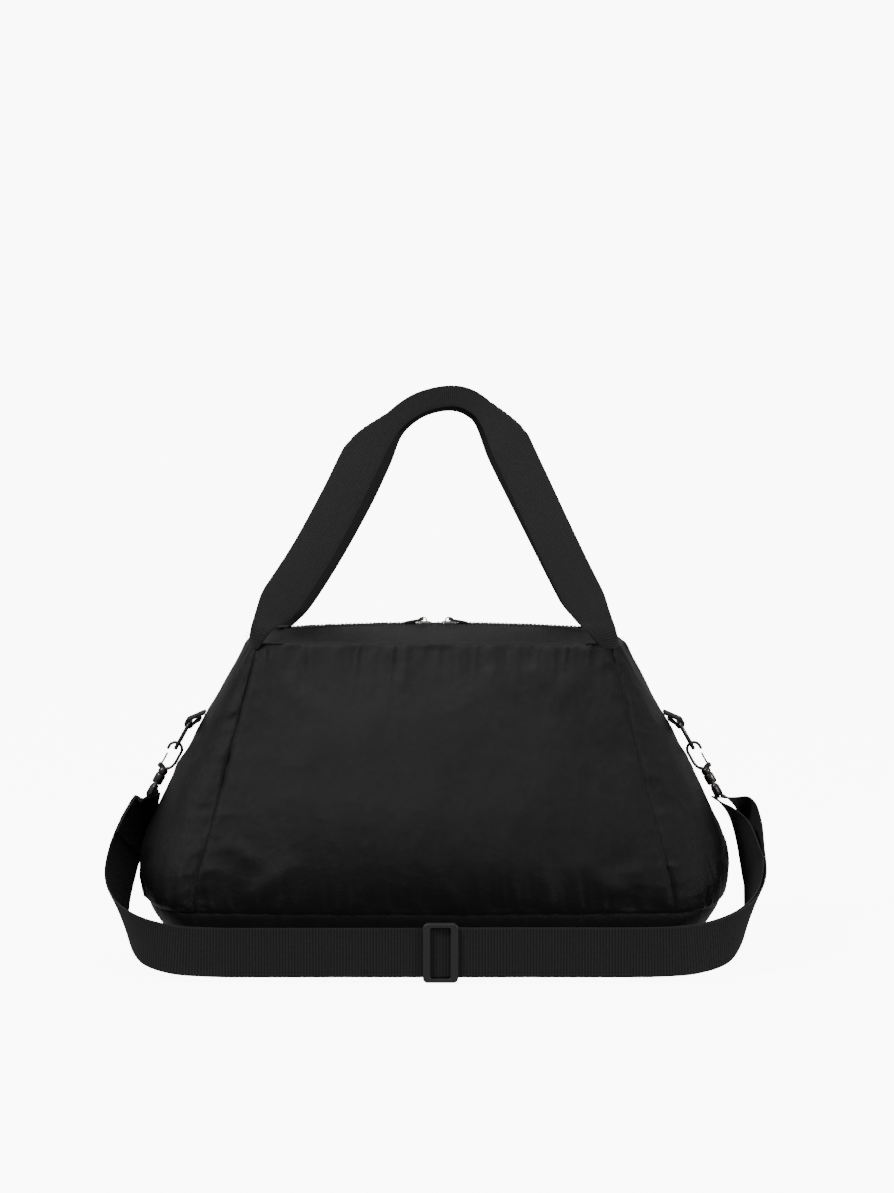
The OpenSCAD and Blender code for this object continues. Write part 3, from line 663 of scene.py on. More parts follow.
def facing_half(side, end):
    """One half of a facing: from the top seam up to its folded edge beside the zip."""
    nu, nv = 120 // FINE, 34
    x = end * np.linspace(0, ZIP_HALF + 0.3, nu)[None, :]
    s = np.linspace(0, 1, nv)[:, None]
    x, s = np.broadcast_arrays(x, s)
    y = (HINGE_Y + 1.9) + (FACING_EDGE - HINGE_Y - 1.9) * s
    z = TOP_SEAM_Z + 0.5 + (ridge(x) - 0.1 - TOP_SEAM_Z - 0.5) * s + 1.5 * np.sin(np.pi * s)
    high = (1 - s) * 36
    seed = 600 + side * 10
    out = creases(x, high, seed, 11, 1.2, 15, 0.25) + creases(x, s * 36, seed + 40, 13, 0.35, 8)
    out += 0.7 * ripple(x / 34 + 9, seed + 3) * np.sin(np.pi * s)
    out *= ease(high / 4 + 0.1) * ease(s * 7 + 0.15)
    out -= 1.3 * np.exp(-(s * 36) / 1.8)
    out -= 0.45 * np.exp(-((high - 2.8) / 0.9) ** 2)
    top = np.stack([x, side * y, z + out], -1)
    low = top - [0, 0, CLOTH]
    low[-1, :, 1] += side * 0.3
    if side * end < 0:
        top, low = top[:, ::-1], low[:, ::-1]
    uvs = np.stack([top[..., 0], s * 36], -1) * MM
    name = f"{WORD_OF_SIDE[side]}_facing_{WORD_OF_END[end]}"
    ob = slab(name, top, low, SHELL, uvs, flip=False)
    mouth(ob, side, end, f"{WORD_OF_SIDE[side]}_facing")
    edge = [(v, side * (FACING_EDGE + 2.6), float(ridge(v)) - 0.05) for v in end * np.linspace(1.2, 117, 60)]
    mouth(stitches(f"{name}_topstitch", [edge], None), side, end)


def tape_half(side, end):
    nu = 60
    x = end * np.linspace(0, ZIP_HALF - 1, nu)[None, :]
    s = np.linspace(0, 1, 5)[:, None]
    x, s = np.broadcast_arrays(x, s)
    inner = 2.2 + parting(x)
    y = 13 + (inner - 13) * s
    z = ridge(x) - 1.75 - 1.2 * (1 - s)
    top = np.stack([x, side * y, z + 0.3], -1)
    low = np.stack([x, side * y, z - 0.3], -1)
    if side * end < 0:
        top, low = top[:, ::-1], low[:, ::-1]
    uvs = np.stack([top[..., 0], top[..., 1]], -1) * MM
    ob = slab(f"{WORD_OF_SIDE[side]}_tape_{WORD_OF_END[end]}", top, low, ZIP_TAPE, uvs)
    mouth(ob, side, end, f"{WORD_OF_SIDE[side]}_zip_tape")


def coil_half(side, end):
    """One half of a row of teeth: the nylon coil, wound round the line of the CAD's row."""
    pitch, per_turn = 1.3, 10
    turns = int((ZIP_HALF - 4) / pitch)
    a = np.linspace(0, turns * 2 * np.pi, turns * per_turn + 1)
    x = end * (0.2 + a / (2 * np.pi) * pitch)
    middle = side * (TEETH_R + 0.1 + parting(x))
    r = TEETH_R - 0.32
    shift = 0.0 if side < 0 else np.pi
    y = middle + r * 1.15 * np.cos(a + shift)
    z = ridge(x) - 1.2 + r * np.sin(a + shift)
    ob = swept(f"{WORD_OF_SIDE[side]}_coil_{WORD_OF_END[end]}",
               rod_rings(np.stack([x, y, z], 1), (1, 0, 0), 0.34, 0.34, 5), COIL)
    mouth(ob, side, end, f"{WORD_OF_SIDE[side]}_zip_teeth")


def end_top(end):
    """The cloth between the zip's end and an end panel."""
    nu, nv = 90 // FINE, 30
    w = np.linspace(-1, 1, nu)[None, :]
    s = np.linspace(0, 1, nv)[:, None]
    w, s = np.broadcast_arrays(w, s)
    outer = on_section(TOP_ROW, 1.5 + w / 2)
    x = (ZIP_HALF + 0.2) * (1 - s) + outer[..., 0] * s
    y = 43 * w * (1 - s) + outer[..., 1] * s
    rise = ridge(ZIP_HALF) - TOP_SEAM_Z
    z = TOP_SEAM_Z + 0.4 + rise * (1 - np.abs(w) ** 1.3) * (1 - s) ** 1.15
    out = creases(w * 50, (1 - s) * 26, 711 + end, 11, 0.8, 14)
    out = out + 0.7 * ripple(w * 3.1 + 4, 713) * np.sin(np.pi * s)
    out *= ease((1 - s) * 5) * ease((1 - np.abs(w)) * 6)
    out -= 1.2 * np.exp(-(1 - s) * 26 / 1.8)
    top = np.stack([end * x, y, z + out], -1)
    low = top - [0, 0, CLOTH]
    if end > 0:
        top, low = top[:, ::-1], low[:, ::-1]
    ob = slab(f"{WORD_OF_END[end]}_end_top_cloth", top, low, SHELL, flip=False)
    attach(ob, "shell")
    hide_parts(f"{WORD_OF_END[end]}_end_top")
    bar = rounded_box_outline(9, 12, 1.5)
    patch = prism(f"{WORD_OF_END[end]}_zip_end_patch", bar, 0, 0.9, BINDING)
    place_mesh(patch, np.eye(3), (end * (ZIP_HALF + 2), 0, float(ridge(ZIP_HALF)) + 0.2))
    bevel(patch, 0.3)
    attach(patch, "shell")
    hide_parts("zip_stops")


for side in (-1, 1):
    for end in (-1, 1):
        facing_half(side, end)
        tape_half(side, end)
        coil_half(side, end)
for end in (-1, 1):
    end_top(end)

SLIDER_LEN, SLIDER_WIDE, SLIDER_NARROW, BRIDGE_Z = 12.0, 11.2, 8.6, 4.5


def zip_slider(end):
    """A slider: two shaped plates, a wedge between them and a bridge for the pull."""
    half, wide, narrow = SLIDER_LEN / 2, SLIDER_WIDE / 2, SLIDER_NARROW / 2
    outline = [(-half, -wide + 1.6), (-half + 0.7, -wide + 0.4), (-half + 2, -wide), (0, -wide + 0.5),
               (half - 1.6, -narrow), (half - 0.4, -narrow + 0.6), (half, -narrow + 1.8)]
    outline = outline + [(x, -y) for x, y in outline[::-1]]
    parts = [prism("plate", outline, 1.75, 2.85, NICKEL), prism("plate", outline, -2.9, -1.85, NICKEL)]
    lip = [(x, y) for x, y in outline if y < -2.4]
    for sign in (-1, 1):
        edge = np.array([(x, sign * -y) for x, y in lip])
        strip = np.concatenate([edge, (edge - np.array([0, sign * 0.75]))[::-1]])
        if sign > 0:
            strip = strip[::-1]
        parts.append(prism("flange", strip, 1.15, 1.8, NICKEL))
    wedge = [(-5.8, -1.1), (-3.2, -0.5), (-2.6, 0), (-3.2, 0.5), (-5.8, 1.1)]
    parts.append(prism("wedge", wedge, -2.4, 2.4, NICKEL))
    for p in parts:
        bevel(p, 0.28)
    arch = smooth_line(
        [(-3.4, 0, 2.4), (-3.2, 0, 4.6), (-1.6, 0, 5.9), (1.0, 0, 5.9), (2.8, 0, 4.6), (3.1, 0, 2.4)], 26)
    parts.append(swept("bridge", rod_rings(arch, (0, 1, 0), 0.55, 1.3, 12, power=3), NICKEL))
    ob = join(f"{WORD_OF_END[end]}_slider_cast", parts)
    x = ZIP_MIDDLE + end * SLIDER_APART
    place_mesh(ob, np.diag([end, end, 1.0]), (x, 0, float(ridge(x)) - 1.6))
    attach(ob, f"slider_{WORD_OF_END[end]}")
    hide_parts(f"zip_slider_{WORD_OF_END[end]}")


def pull_tab(end):
    """A flat black pull with a framed face, set at the height of the slider's bridge."""
    w, long = 6.6, 16.0
    outline = rounded_box_outline(long, w, 2.2, 8)
    hole = rounded_box_outline(6.2, 3.7, 1.2, 8) + [-3.6, 0]
    frame_part = prism("pull", outline, -0.75, 0.75, ENAMEL, hole)
    bevel(frame_part, 0.35)
    grip = prism("grip", rounded_box_outline(6.0, 4.2, 1.4, 8) + [3.6, 0], -1.0, 1.0, ENAMEL)
    bevel(grip, 0.3)
    ob = join(f"{WORD_OF_END[end]}_pull_cast", [frame_part, grip])
    x = ZIP_MIDDLE + end * SLIDER_APART
    droop = math.radians(11)
    place_mesh(ob, np.eye(3), (long / 2 - 1.1, 0, 0))
    cos, sin = math.cos(droop), math.sin(droop)
    turn = [[end * cos, 0, end * sin], [0, end, 0], [-sin, 0, cos]]
    place_mesh(ob, turn, (x, 0, float(ridge(x)) - 1.6 + BRIDGE_Z))
    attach(ob, f"pull_{WORD_OF_END[end]}")
    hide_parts(f"pull_tab_{WORD_OF_END[end]}")


for end in (-1, 1):
    zip_slider(end)
    pull_tab(end)

# ---------------------------------------------------------------- carry handles

HANDLE_W = 32.0
HANDLE_T = 1.5
FOOT_Y = 45.5
TOP_Y = 4.2
FOOT_Z = 250.5
APEX_Z = 440.0
FRONT_PATH = [
    (-142, 250.5), (-131, 269), (-119, 285), (-96, 320), (-73, 362), (-54, 399), (-33, 423),
    (-11, 438), (16, 443), (36, 435), (54, 414), (69, 384), (92, 335), (110, 298), (124, 272), (138, 250.5),
]
REAR_PATH = [
    (-138, 250.5), (-122, 269), (-109, 285), (-87, 320), (-64, 362), (-47, 397), (-31, 419),
    (-11, 434), (14, 439), (34, 431), (50, 411), (65, 381), (89, 333), (107, 297), (121, 271), (135, 250.5),
]
GRIP_FROM, GRIP_TO = 5.6, 9.6
STITCH_HALF = 9.5


def ribbon_section(width, thick, fold, count=17):
    """Ring of a flat tape across its width. As fold goes from 0 to 1 a crease moves in from its outer edge
    to its middle, and the part beyond the crease lies behind the rest. Pairs are (out, depth)."""
    c = np.linspace(-1, 1, count)
    crease = 1.02 - fold
    over = np.maximum(c - crease, 0)
    out = np.where(c > crease, 2 * crease - c, c) * width / 2 + 0.19 * width * fold
    turned = ease(over / 0.14)
    depth = 1.25 * thick * turned
    angle = np.pi * turned
    normal_out, normal_depth = -np.sin(angle), np.cos(angle)
    h = thick / 2 * (1 - 0.35 * (np.abs(c) > 0.97))
    front = np.stack([out - normal_out * h, depth - normal_depth * h], 1)
    back = np.stack([out + normal_out * h, depth + normal_depth * h], 1)
    return np.concatenate([back, front[::-1]]), c


def top_edge_y(x):
    """How far the bag's top seam is from the middle plane at a place along it."""
    a, xs, ys = SECTIONS[TOP_ROW, 1:4]
    f = np.clip((np.abs(x) - xs) / (a - xs), 0, 0.97)
    return ys * (1 - f ** END_SQUARENESS) ** (1 / END_SQUARENESS)


def carry_handle(name, path, side, node_name, feet):
    """feet gives how much each foot narrows, and over how much of the path, left then right."""
    steps = 360 // FINE
    last = len(path) - 1
    v = np.linspace(0, last, steps)
    p = curve(path, v)
    t = curve(path, np.minimum(v + 0.05, last)) - curve(path, np.maximum(v - 0.05, 0))
    t /= np.linalg.norm(t, axis=1, keepdims=True)
    n = np.stack([-t[:, 1], t[:, 0]], 1)
    level = (ease(1 - v / 1.1) + ease(1 - (last - v) / 1.1))[:, None]
    n = n * (1 - level) + np.stack([np.sign(n[:, 0]), 0 * v], 1) * level
    n /= np.linalg.norm(n, axis=1, keepdims=True)
    fold = ease((v - GRIP_FROM + 0.9) / 1.5) * ease((GRIP_TO + 0.9 - v) / 1.5)
    (left, left_run), (right, right_run) = feet
    foot = 1 - left * ease(1 - v / left_run) - right * ease(1 - (last - v) / right_run)
    lean = FOOT_Y + (TOP_Y - FOOT_Y) * (p[:, 1] - FOOT_Z) / (APEX_Z - FOOT_Z)
    travel = np.concatenate([[0], np.cumsum(np.linalg.norm(np.diff(p, axis=0), axis=1))])
    wobble = 0.35 * ripple(travel / 31, 801 + side) * (1 - fold)
    rings, uvs = [], []
    for k in range(steps):
        section, c = ribbon_section(
            HANDLE_W * foot[k] * (1 - 0.08 * fold[k]), HANDLE_T * (2.6 - 1.6 * foot[k]), fold[k] * 0.9)
        cup = 0.5 * (1 - fold[k]) * np.cos(np.pi / 2 * np.concatenate([c, c[::-1]])) + wobble[k]
        x = p[k, 0] + n[k, 0] * section[:, 0]
        z = p[k, 1] + n[k, 1] * section[:, 0]
        y = lean[k] - section[:, 1] + cup
        sewn = ease((268 - z) / 15)
        y = side * (y * (1 - sewn) + (top_edge_y(x) + 0.9 + y - lean[k]) * sewn)
        z = z - 4.5 * ease((264 - z) / 13.5)
        rings.append(np.stack([x, y, z], 1))
        across = np.concatenate([c, c[::-1]]) * HANDLE_W / 2
        uvs.append(np.stack([np.full(len(across), travel[k]), across], 1) * MM)
    rings, uvs = np.array(rings), np.array(uvs)
    if side > 0:
        rings, uvs = rings[:, ::-1], uvs[:, ::-1]
    ob = swept(name, rings, HANDLE_WEB, uvs)
    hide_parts(node_name)
    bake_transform(ob)


FRONT_FEET = ((0.68, 2.1), (0.5, 1.6))
REAR_FEET = ((0.35, 1.5), (0.5, 1.6))
carry_handle("front_handle_webbing", FRONT_PATH, -1, "front_handle", FRONT_FEET)
carry_handle("rear_handle_webbing", REAR_PATH, 1, "rear_handle", REAR_FEET)


def handle_foot_stitches():
    """Two rows of stitches across each handle's foot, just above the top seam."""
    for side in (-1, 1):
        lines = []
        path = FRONT_PATH if side < 0 else REAR_PATH
        for foot, after in ((path[0], path[1]), (path[-1], path[-2])):
            t = np.array(after, float) - foot
            t /= np.linalg.norm(t)
            n = np.array([-t[1], t[0]])
            for up in (2.2, 4.6):
                a = np.array(foot) + t * up - n * STITCH_HALF
                b = np.array(foot) + t * up + n * STITCH_HALF
                lines.append([(x, side * float(top_edge_y(x) + 2.1), z - 3.4) for x, z in (a, b)])
        stitches(f"{WORD_OF_SIDE[side]}_handle_foot_stitches", lines, "shell", pitch=2.4, length=1.8)


handle_foot_stitches()

# ---------------------------------------------------------------- rings, hooks and their tabs

RING_X, RING_Z, RING_R, RING_WIRE = 205.0, 178.0, 15.3, 1.6
RING_DROP = 8 + RING_R
HOOK_LEAN = math.radians(29)
HOOK_REACH = 34.7
CROOK_Z = HOOK_REACH - 1.2
CROOK_MID = 5.4
SLOT_BAR_Z = -4.5
GATE_U, GATE_W = -4.4, 16.8


def ring_bar():
    """How far out and how high the straight bar of a ring is."""
    return RING_X - RING_DROP * math.sin(HOOK_LEAN), RING_Z - RING_R + RING_DROP * math.cos(HOOK_LEAN)


def hook_foot(end):
    return np.array([end * (RING_X + HOOK_REACH * math.sin(HOOK_LEAN)), 0,
                     RING_Z - RING_R - HOOK_REACH * math.cos(HOOK_LEAN)])


def hook_place(ob, end):
    """Stands a piece drawn upright, with +X towards the bag, in its place on a hook's axis."""
    towards = np.array([-end * math.cos(HOOK_LEAN), 0, -math.sin(HOOK_LEAN)])
    across = np.array([0, -end, 0.0])
    up = np.array([-end * math.sin(HOOK_LEAN), 0, math.cos(HOOK_LEAN)])
    return place_mesh(ob, np.stack([towards, across, up], 1), hook_foot(end))


def lathe(name, profile, material, sides=24):
    """A turned piece from (radius, height) pairs."""
    a = 2 * np.pi * np.arange(sides) / sides
    rings = np.array([[(r * math.cos(k), r * math.sin(k), h) for k in a] for r, h in profile])
    return swept(name, rings, material)


def snap_hook(end):
    """A cast hook: a turned shank, a swept crook with a rounded nose, and cheeks that hold the gate."""
    word = WORD_OF_END[end]
    arc = [(CROOK_MID * math.cos(a), 0, CROOK_Z + CROOK_MID * math.sin(a))
           for a in np.linspace(0.0, math.pi, 15)]
    line = smooth_line([(-0.6, 0, 14.2), (1.6, 0, 16.4), (4.2, 0, 19.4), (5.3, 0, 23.5), (5.4, 0, 28)], 18)
    tail = smooth_line([(-5.4, 0, CROOK_Z - 0.6), (-5.35, 0, CROOK_Z - 1.8), (-5.3, 0, CROOK_Z - 3.0)], 6)
    path = np.concatenate([line, arc, tail])
    size = np.ones(len(path))
    size[:8] = np.linspace(1.5, 1.0, 8)
    size[-3:] = (0.95, 0.75, 0.35)
    rings = rod_rings(path, (0, 1, 0), 1.2 * size, 1.9 * np.minimum(size, 1.0), 14, power=2.6)
    body = swept("crook", rings, GUNMETAL)
    shank = lathe("shank", [(0.01, 0.2), (2.6, 0.2), (2.8, 0.5), (2.8, 1.3), (1.82, 1.6), (1.82, 11.4),
                            (3.5, 11.5), (3.8, 11.9), (3.8, 14.2), (3.2, 15.6), (1.8, 16.6), (0.01, 16.8)],
                  GUNMETAL)
    parts = [body, shank]
    for sy in (-1, 1):
        cheek = [(GATE_U - 2, GATE_W - 0.3), (GATE_U - 1.5, GATE_W - 1.6), (GATE_U, GATE_W - 2.1),
                 (-1.2, 14.2), (0.4, 15.2), (0.2, 17.4), (-1.2, 17.9),
                 (GATE_U + 0.6, GATE_W + 2), (GATE_U - 0.6, GATE_W + 2), (GATE_U - 1.8, GATE_W + 1)]
        plate = prism("cheek", cheek[::-1], -0.5, 0.5, GUNMETAL)
        place_mesh(plate, [[1, 0, 0], [0, 0, 1], [0, 1, 0]], (0, sy * 1.4, 0))
        plate.data.flip_normals()
        bevel(plate, 0.25)
        parts.append(plate)
    rivet = lathe("rivet", [(0.01, -2.1), (0.9, -2.05), (1.1, -1.9), (0.8, -1.8), (0.8, 1.8), (1.1, 1.9),
                            (0.9, 2.05), (0.01, 2.1)], GUNMETAL, 16)
    place_mesh(rivet, [[1, 0, 0], [0, 0, -1], [0, 1, 0]], (GATE_U, 0, GATE_W))
    parts.append(rivet)
    ob = join(f"snap_hook_{word}_cast", parts)
    hook_place(ob, end)
    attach(ob, f"hook_{word}")
    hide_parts(f"snap_hook_{word}")
    leaf = smooth_line([(GATE_U, 0, GATE_W - 0.9), (GATE_U + 0.35, 0, GATE_W + 1.5),
                        (GATE_U + 0.5, 0, GATE_W + 6), (GATE_U + 0.4, 0, GATE_W + 11.3)], 20)
    gate = swept(f"hook_gate_{word}_leaf", rod_rings(leaf, (0, 1, 0), 0.75, 0.72, 10, power=3), GUNMETAL)
    hook_place(gate, end)
    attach(gate, f"gate_{word}")
    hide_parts(f"hook_gate_{word}")


def swivel_base(end):
    """The swivel's foot: a rounded wire loop for the webbing under a turned collar."""
    word = WORD_OF_END[end]
    half, low, high, r = 21.7, SLOT_BAR_Z, 3.6, 2.2
    corners = []
    wide, top, bottom = half - r, high - r, low + r
    for cx, cz, a0 in ((wide, top, 0), (-wide, top, 90), (-wide, bottom, 180), (wide, bottom, 270)):
        for k in range(6):
            a = math.radians(a0 + 18 * k)
            corners.append((0, cx + r * math.cos(a), cz + r * math.sin(a)))
    pts = []
    for a, b in zip(corners, corners[1:] + corners[:1]):
        gap = max(1, int(np.hypot(a[1] - b[1], a[2] - b[2]) / 3))
        for k in range(gap):
            pts.append(tuple(np.array(a) + (np.array(b) - a) * k / gap))
    loop = swept("loop", rod_rings(pts, (1, 0, 0), 1.75, 1.75, 12, closed=True), GUNMETAL, closed=True)
    collar = lathe("collar", [(1.95, 2.2), (3.4, 2.2), (4.1, 3.2), (4.1, 9.6), (3.7, 10.6), (3.2, 11.0),
                              (1.95, 11.0), (1.9, 10.6), (1.9, 2.6)], GUNMETAL)
    yoke_outline = [(13, 1.9), (13, 2.8), (4.6, 5.4), (-4.6, 5.4), (-13, 2.8), (-13, 1.9)]
    yoke = prism("yoke", yoke_outline, -1.7, 1.7, GUNMETAL)
    place_mesh(yoke, [[0, 0, 1], [1, 0, 0], [0, 1, 0]], (0, 0, 0))
    bevel(yoke, 0.5)
    ob = join(f"swivel_base_{word}_cast", [loop, collar, yoke])
    hook_place(ob, end)
    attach(ob, "strap")
    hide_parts(f"swivel_base_{word}")


TAB_W, TAB_T = 25.0, 1.9


def webbing_loop(name, path, width, half_thick, run):
    """Webbing along a path in the XZ plane; run is the length along it at each point."""
    side = np.cross([0, 1, 0], frames_along(path))
    y = np.linspace(-width / 2, width / 2, 9)
    lift = side[:, None] * half_thick
    front = path[:, None] + lift + np.array([0, 1, 0]) * y[None, :, None]
    back = path[:, None] - lift + np.array([0, 1, 0]) * y[None, ::-1, None]
    rings = np.concatenate([front, back], 1)
    u = np.broadcast_to(run[:, None], rings.shape[:2])
    across = np.broadcast_to(np.concatenate([y, y[::-1]])[None], rings.shape[:2])
    ob = swept(name, rings, STRAP_WEB, np.stack([u, across], -1) * MM)
    ob.data.flip_normals()
    return ob


def ring_tab(end):
    """A short loop of webbing round the ring's bar, sewn to the end panel."""
    word = WORD_OF_END[end]
    bar = ring_bar()
    r = RING_WIRE + 1.3
    line = [(bar[0] - 12, bar[1] + 8.2), (bar[0] - 8.4, bar[1] + 6.8), (bar[0] - 3.6, bar[1] + 4.6)]
    line += [(bar[0] + r * math.cos(a), bar[1] + r * math.sin(a)) for a in np.linspace(1.25, -2.0, 9)]
    line += [(bar[0] - 4.2, bar[1] + 0.4), (bar[0] - 8.6, bar[1] + 3.0)]
    path = smooth_line([(end * x, 0, z) for x, z in line], 90)
    run = np.arange(len(path)) * 0.75
    ob = webbing_loop(f"ring_tab_{word}_webbing", path, TAB_W, TAB_T / 2, run)
    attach(ob, "shell")
    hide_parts(f"ring_tab_{word}")
    lines = [[(end * (bar[0] - x), -10.5, bar[1] + z), (end * (bar[0] - x), 10.5, bar[1] + z)]
             for x, z in ((5.6, 6.6), (3.2, 5.5))]
    stitches(f"ring_tab_{word}_stitches", lines, "shell", pitch=2.6, length=1.9)


def d_ring(end):
    """A cast D: a straight bar in the tab's loop, two short sides and a half circle."""
    turn = np.linspace(0, np.pi, 25)
    side_len, corner = RING_DROP - RING_R, 2.2
    outline = [(RING_R * math.cos(a), side_len + RING_R * math.sin(a)) for a in turn]
    outline += [(-RING_R, y) for y in (5.5, 3.8)]
    quarter = np.linspace(0, np.pi / 2, 6)
    outline += [(-RING_R + corner - corner * math.cos(a), corner - corner * math.sin(a)) for a in quarter]
    outline += [(y, 0) for y in np.linspace(-11, 11, 9)]
    outline += [(RING_R - corner + corner * math.sin(a), corner - corner * math.cos(a)) for a in quarter]
    outline += [(RING_R, y) for y in (3.8, 5.5)]
    lean_x, lean_z = math.sin(HOOK_LEAN), math.cos(HOOK_LEAN)
    top = ring_bar()
    path = [(end * (top[0] + d * lean_x), y, top[1] - d * lean_z) for y, d in outline]
    across = (end * lean_z, 0, lean_x)
    rings = rod_rings(path, across, RING_WIRE, RING_WIRE, 14, closed=True)
    ob = swept(f"d_ring_{WORD_OF_END[end]}_cast", rings, GUNMETAL, closed=True)
    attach(ob, f"ring_{WORD_OF_END[end]}")
    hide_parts(f"d_ring_{WORD_OF_END[end]}")


for end in (-1, 1):
    d_ring(end)
    snap_hook(end)
    swivel_base(end)
    ring_tab(end)

# ---------------------------------------------------------------- shoulder strap

STRAP_W = 38.0
STRAP_T = 1.6
FRONT_Y = 135.0
STRAP_MID_Z = STRAP_W / 2 + 3.8
LOOP_IN = 1.8 + 0.25
LOOP_OUT = LOOP_IN + STRAP_T
STRAP_START = LOOP_OUT - SLOT_BAR_Z + 0.05
RIB = 2.3


def below_hook(end, drop):
    return hook_foot(end) + drop * np.array([end * math.sin(HOOK_LEAN), 0, -math.cos(HOOK_LEAN)])


LEFT_RUN = [
    (below_hook(-1, STRAP_START), (-0.12, -1, 0.05)), (below_hook(-1, STRAP_START + 8), (-0.42, -0.87, 0.24)),
    ((-238, -10, 100), (-0.5, -0.8, 0.36)), ((-245.5, -29, 77), (-0.5, -0.6, 0.6)),
    ((-248, -54, 56), (-0.45, -0.45, 0.78)), ((-241, -82, 39), (-0.3, -0.25, 0.92)),
    ((-225, -109, 28.5), (-0.12, -0.08, 0.99)), ((-200, -127, 24), (-0.02, 0, 1)),
    ((-170, -FRONT_Y + 1.5, STRAP_MID_Z + 0.1), (0, 0, 1)), ((-140, -FRONT_Y, STRAP_MID_Z), (0, 0, 1)),
]
MIDDLE_RUN = [((x, -FRONT_Y, STRAP_MID_Z), (0, 0, 1)) for x in range(-100, 101, 40)]
RIGHT_RUN = [
    ((140, -FRONT_Y, STRAP_MID_Z), (0, 0, 1)), ((170, -FRONT_Y + 1.5, STRAP_MID_Z + 0.1), (0, 0, 1)),
    ((200, -127, 24), (0.02, 0, 1)), ((226, -109, 28.5), (0.1, -0.08, 0.99)),
    ((243, -82, 39), (0.25, -0.25, 0.93)), ((251.5, -54, 56), (0.35, -0.45, 0.8)),
    ((252.5, -29, 78), (0.3, -0.65, 0.65)), ((250.5, -11, 100), (0.34, -0.83, 0.4)),
    ((244, -2, 117), (0.36, -0.9, 0.2)),
    (below_hook(1, STRAP_START + 0.5) + np.array([1.2, 0, 0.3]), (0.03, -1, 0)),
]
STRAP = LEFT_RUN + MIDDLE_RUN + RIGHT_RUN
RETURN_FIRST, RETURN_LAST = 12.69, 21.4
RETURN_GAP = 2.4


def strap_frames(path, v):
    """Places along a ribbon with its direction, its width's direction and its outward face."""
    places = np.array([p for p, w in path], float)
    widths = np.array([w for p, w in path], float)
    last = len(path) - 1
    p = curve(places, v)
    t = curve(places, np.minimum(v + 0.1, last)) - curve(places, np.maximum(v - 0.1, 0))
    t /= np.linalg.norm(t, axis=1, keepdims=True)
    w = curve(widths, v)
    w -= t * np.sum(w * t, 1, keepdims=True)
    w /= np.linalg.norm(w, axis=1, keepdims=True)
    return p, t, w, np.cross(t, w)


def return_path():
    """The second layer on the right: close behind the strap, then apart from it up to the swivel."""
    p, _, w, n = strap_frames(STRAP, np.linspace(RETURN_FIRST, RETURN_LAST, 10))
    close = list(zip(p - n * RETURN_GAP, w))
    return close + [
        ((249.2, -31, 76), (0.3, -0.65, 0.65)), ((243.5, -13, 97), (0.22, -0.87, 0.4)),
        ((234, -4, 112.5), (0.12, -0.98, 0.1)),
        (below_hook(1, STRAP_START) - np.array([4.6, 0, 1.2]), (0.03, -1, 0)),
    ]


def ribbed_band(name, path, ends=None, off=0.0, phase=0.0):
    """Ribbed webbing along a path, moved off it by off along its outward face."""
    first, last = ends or (0, len(path) - 1)
    fine = np.linspace(first, last, 3000)
    p, _, _, n = strap_frames(path, fine)
    p = p + n * off
    run = np.concatenate([[0], np.cumsum(np.linalg.norm(np.diff(p, axis=0), axis=1))])
    per_rib = 4
    count = int(run[-1] / RIB * per_rib)
    s = np.linspace(0, run[-1], count)
    at = np.interp(s, run, fine)
    p, _, w, n = strap_frames(path, at)
    p = p + n * off
    rib = 0.5 + 0.5 * np.cos(2 * np.pi * (s + phase) / RIB)
    across = np.array([-1, -0.965, -0.9, -0.45, 0, 0.45, 0.9, 0.965, 1.0])
    selvedge = np.array([0.55, 0.85, 0.2, 0, 0, 0, 0.2, 0.85, 0.55])
    h = np.where(np.abs(across)[None, :] < 0.95, (0.5 + 0.5 * rib[:, None]) * STRAP_T / 2,
                 STRAP_T / 2 * selvedge[None, :])
    sway = 0.25 * ripple(s / 47, 901)[:, None]
    middle = p[:, None] + w[:, None] * (across * STRAP_W / 2)[None, :, None]
    front = middle + n[:, None] * (h + sway)[..., None]
    back = middle + n[:, None] * (-h + sway)[..., None]
    rings = np.concatenate([front, back[:, ::-1]], 1)
    u = np.broadcast_to(s[:, None], rings.shape[:2])
    q = np.broadcast_to(np.concatenate([across, across[::-1]])[None] * STRAP_W / 2, rings.shape[:2])
    ob = swept(name, rings, STRAP_WEB, np.stack([u, q], -1) * MM)
    ob.data.flip_normals()
    return ob


def shoulder_strap():
    ob = ribbed_band("shoulder_strap_webbing", STRAP)
    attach(ob, "strap")
    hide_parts("shoulder_strap")
    back = ribbed_band("strap_return_webbing", return_path(), phase=1.1)
    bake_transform(back)
    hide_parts("strap_return")
    for end in (-1, 1):
        word = WORD_OF_END[end]
        a = np.linspace(-0.5 * np.pi, 1.42 * np.pi, 40)
        mid = (LOOP_IN + LOOP_OUT) / 2
        path = np.stack([mid * np.cos(a), 0 * a, SLOT_BAR_Z + mid * np.sin(a)], 1)
        rib = 0.5 + 0.5 * np.cos(2 * np.pi * np.linspace(0, 8, len(a)))
        h = (0.62 + 0.38 * rib)[:, None, None] * STRAP_T / 2
        turn = webbing_loop(f"strap_end_{word}_turn", path, STRAP_W, h, a * mid)
        hook_place(turn, end)
        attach(turn, "strap")
        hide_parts(f"strap_end_{word}")


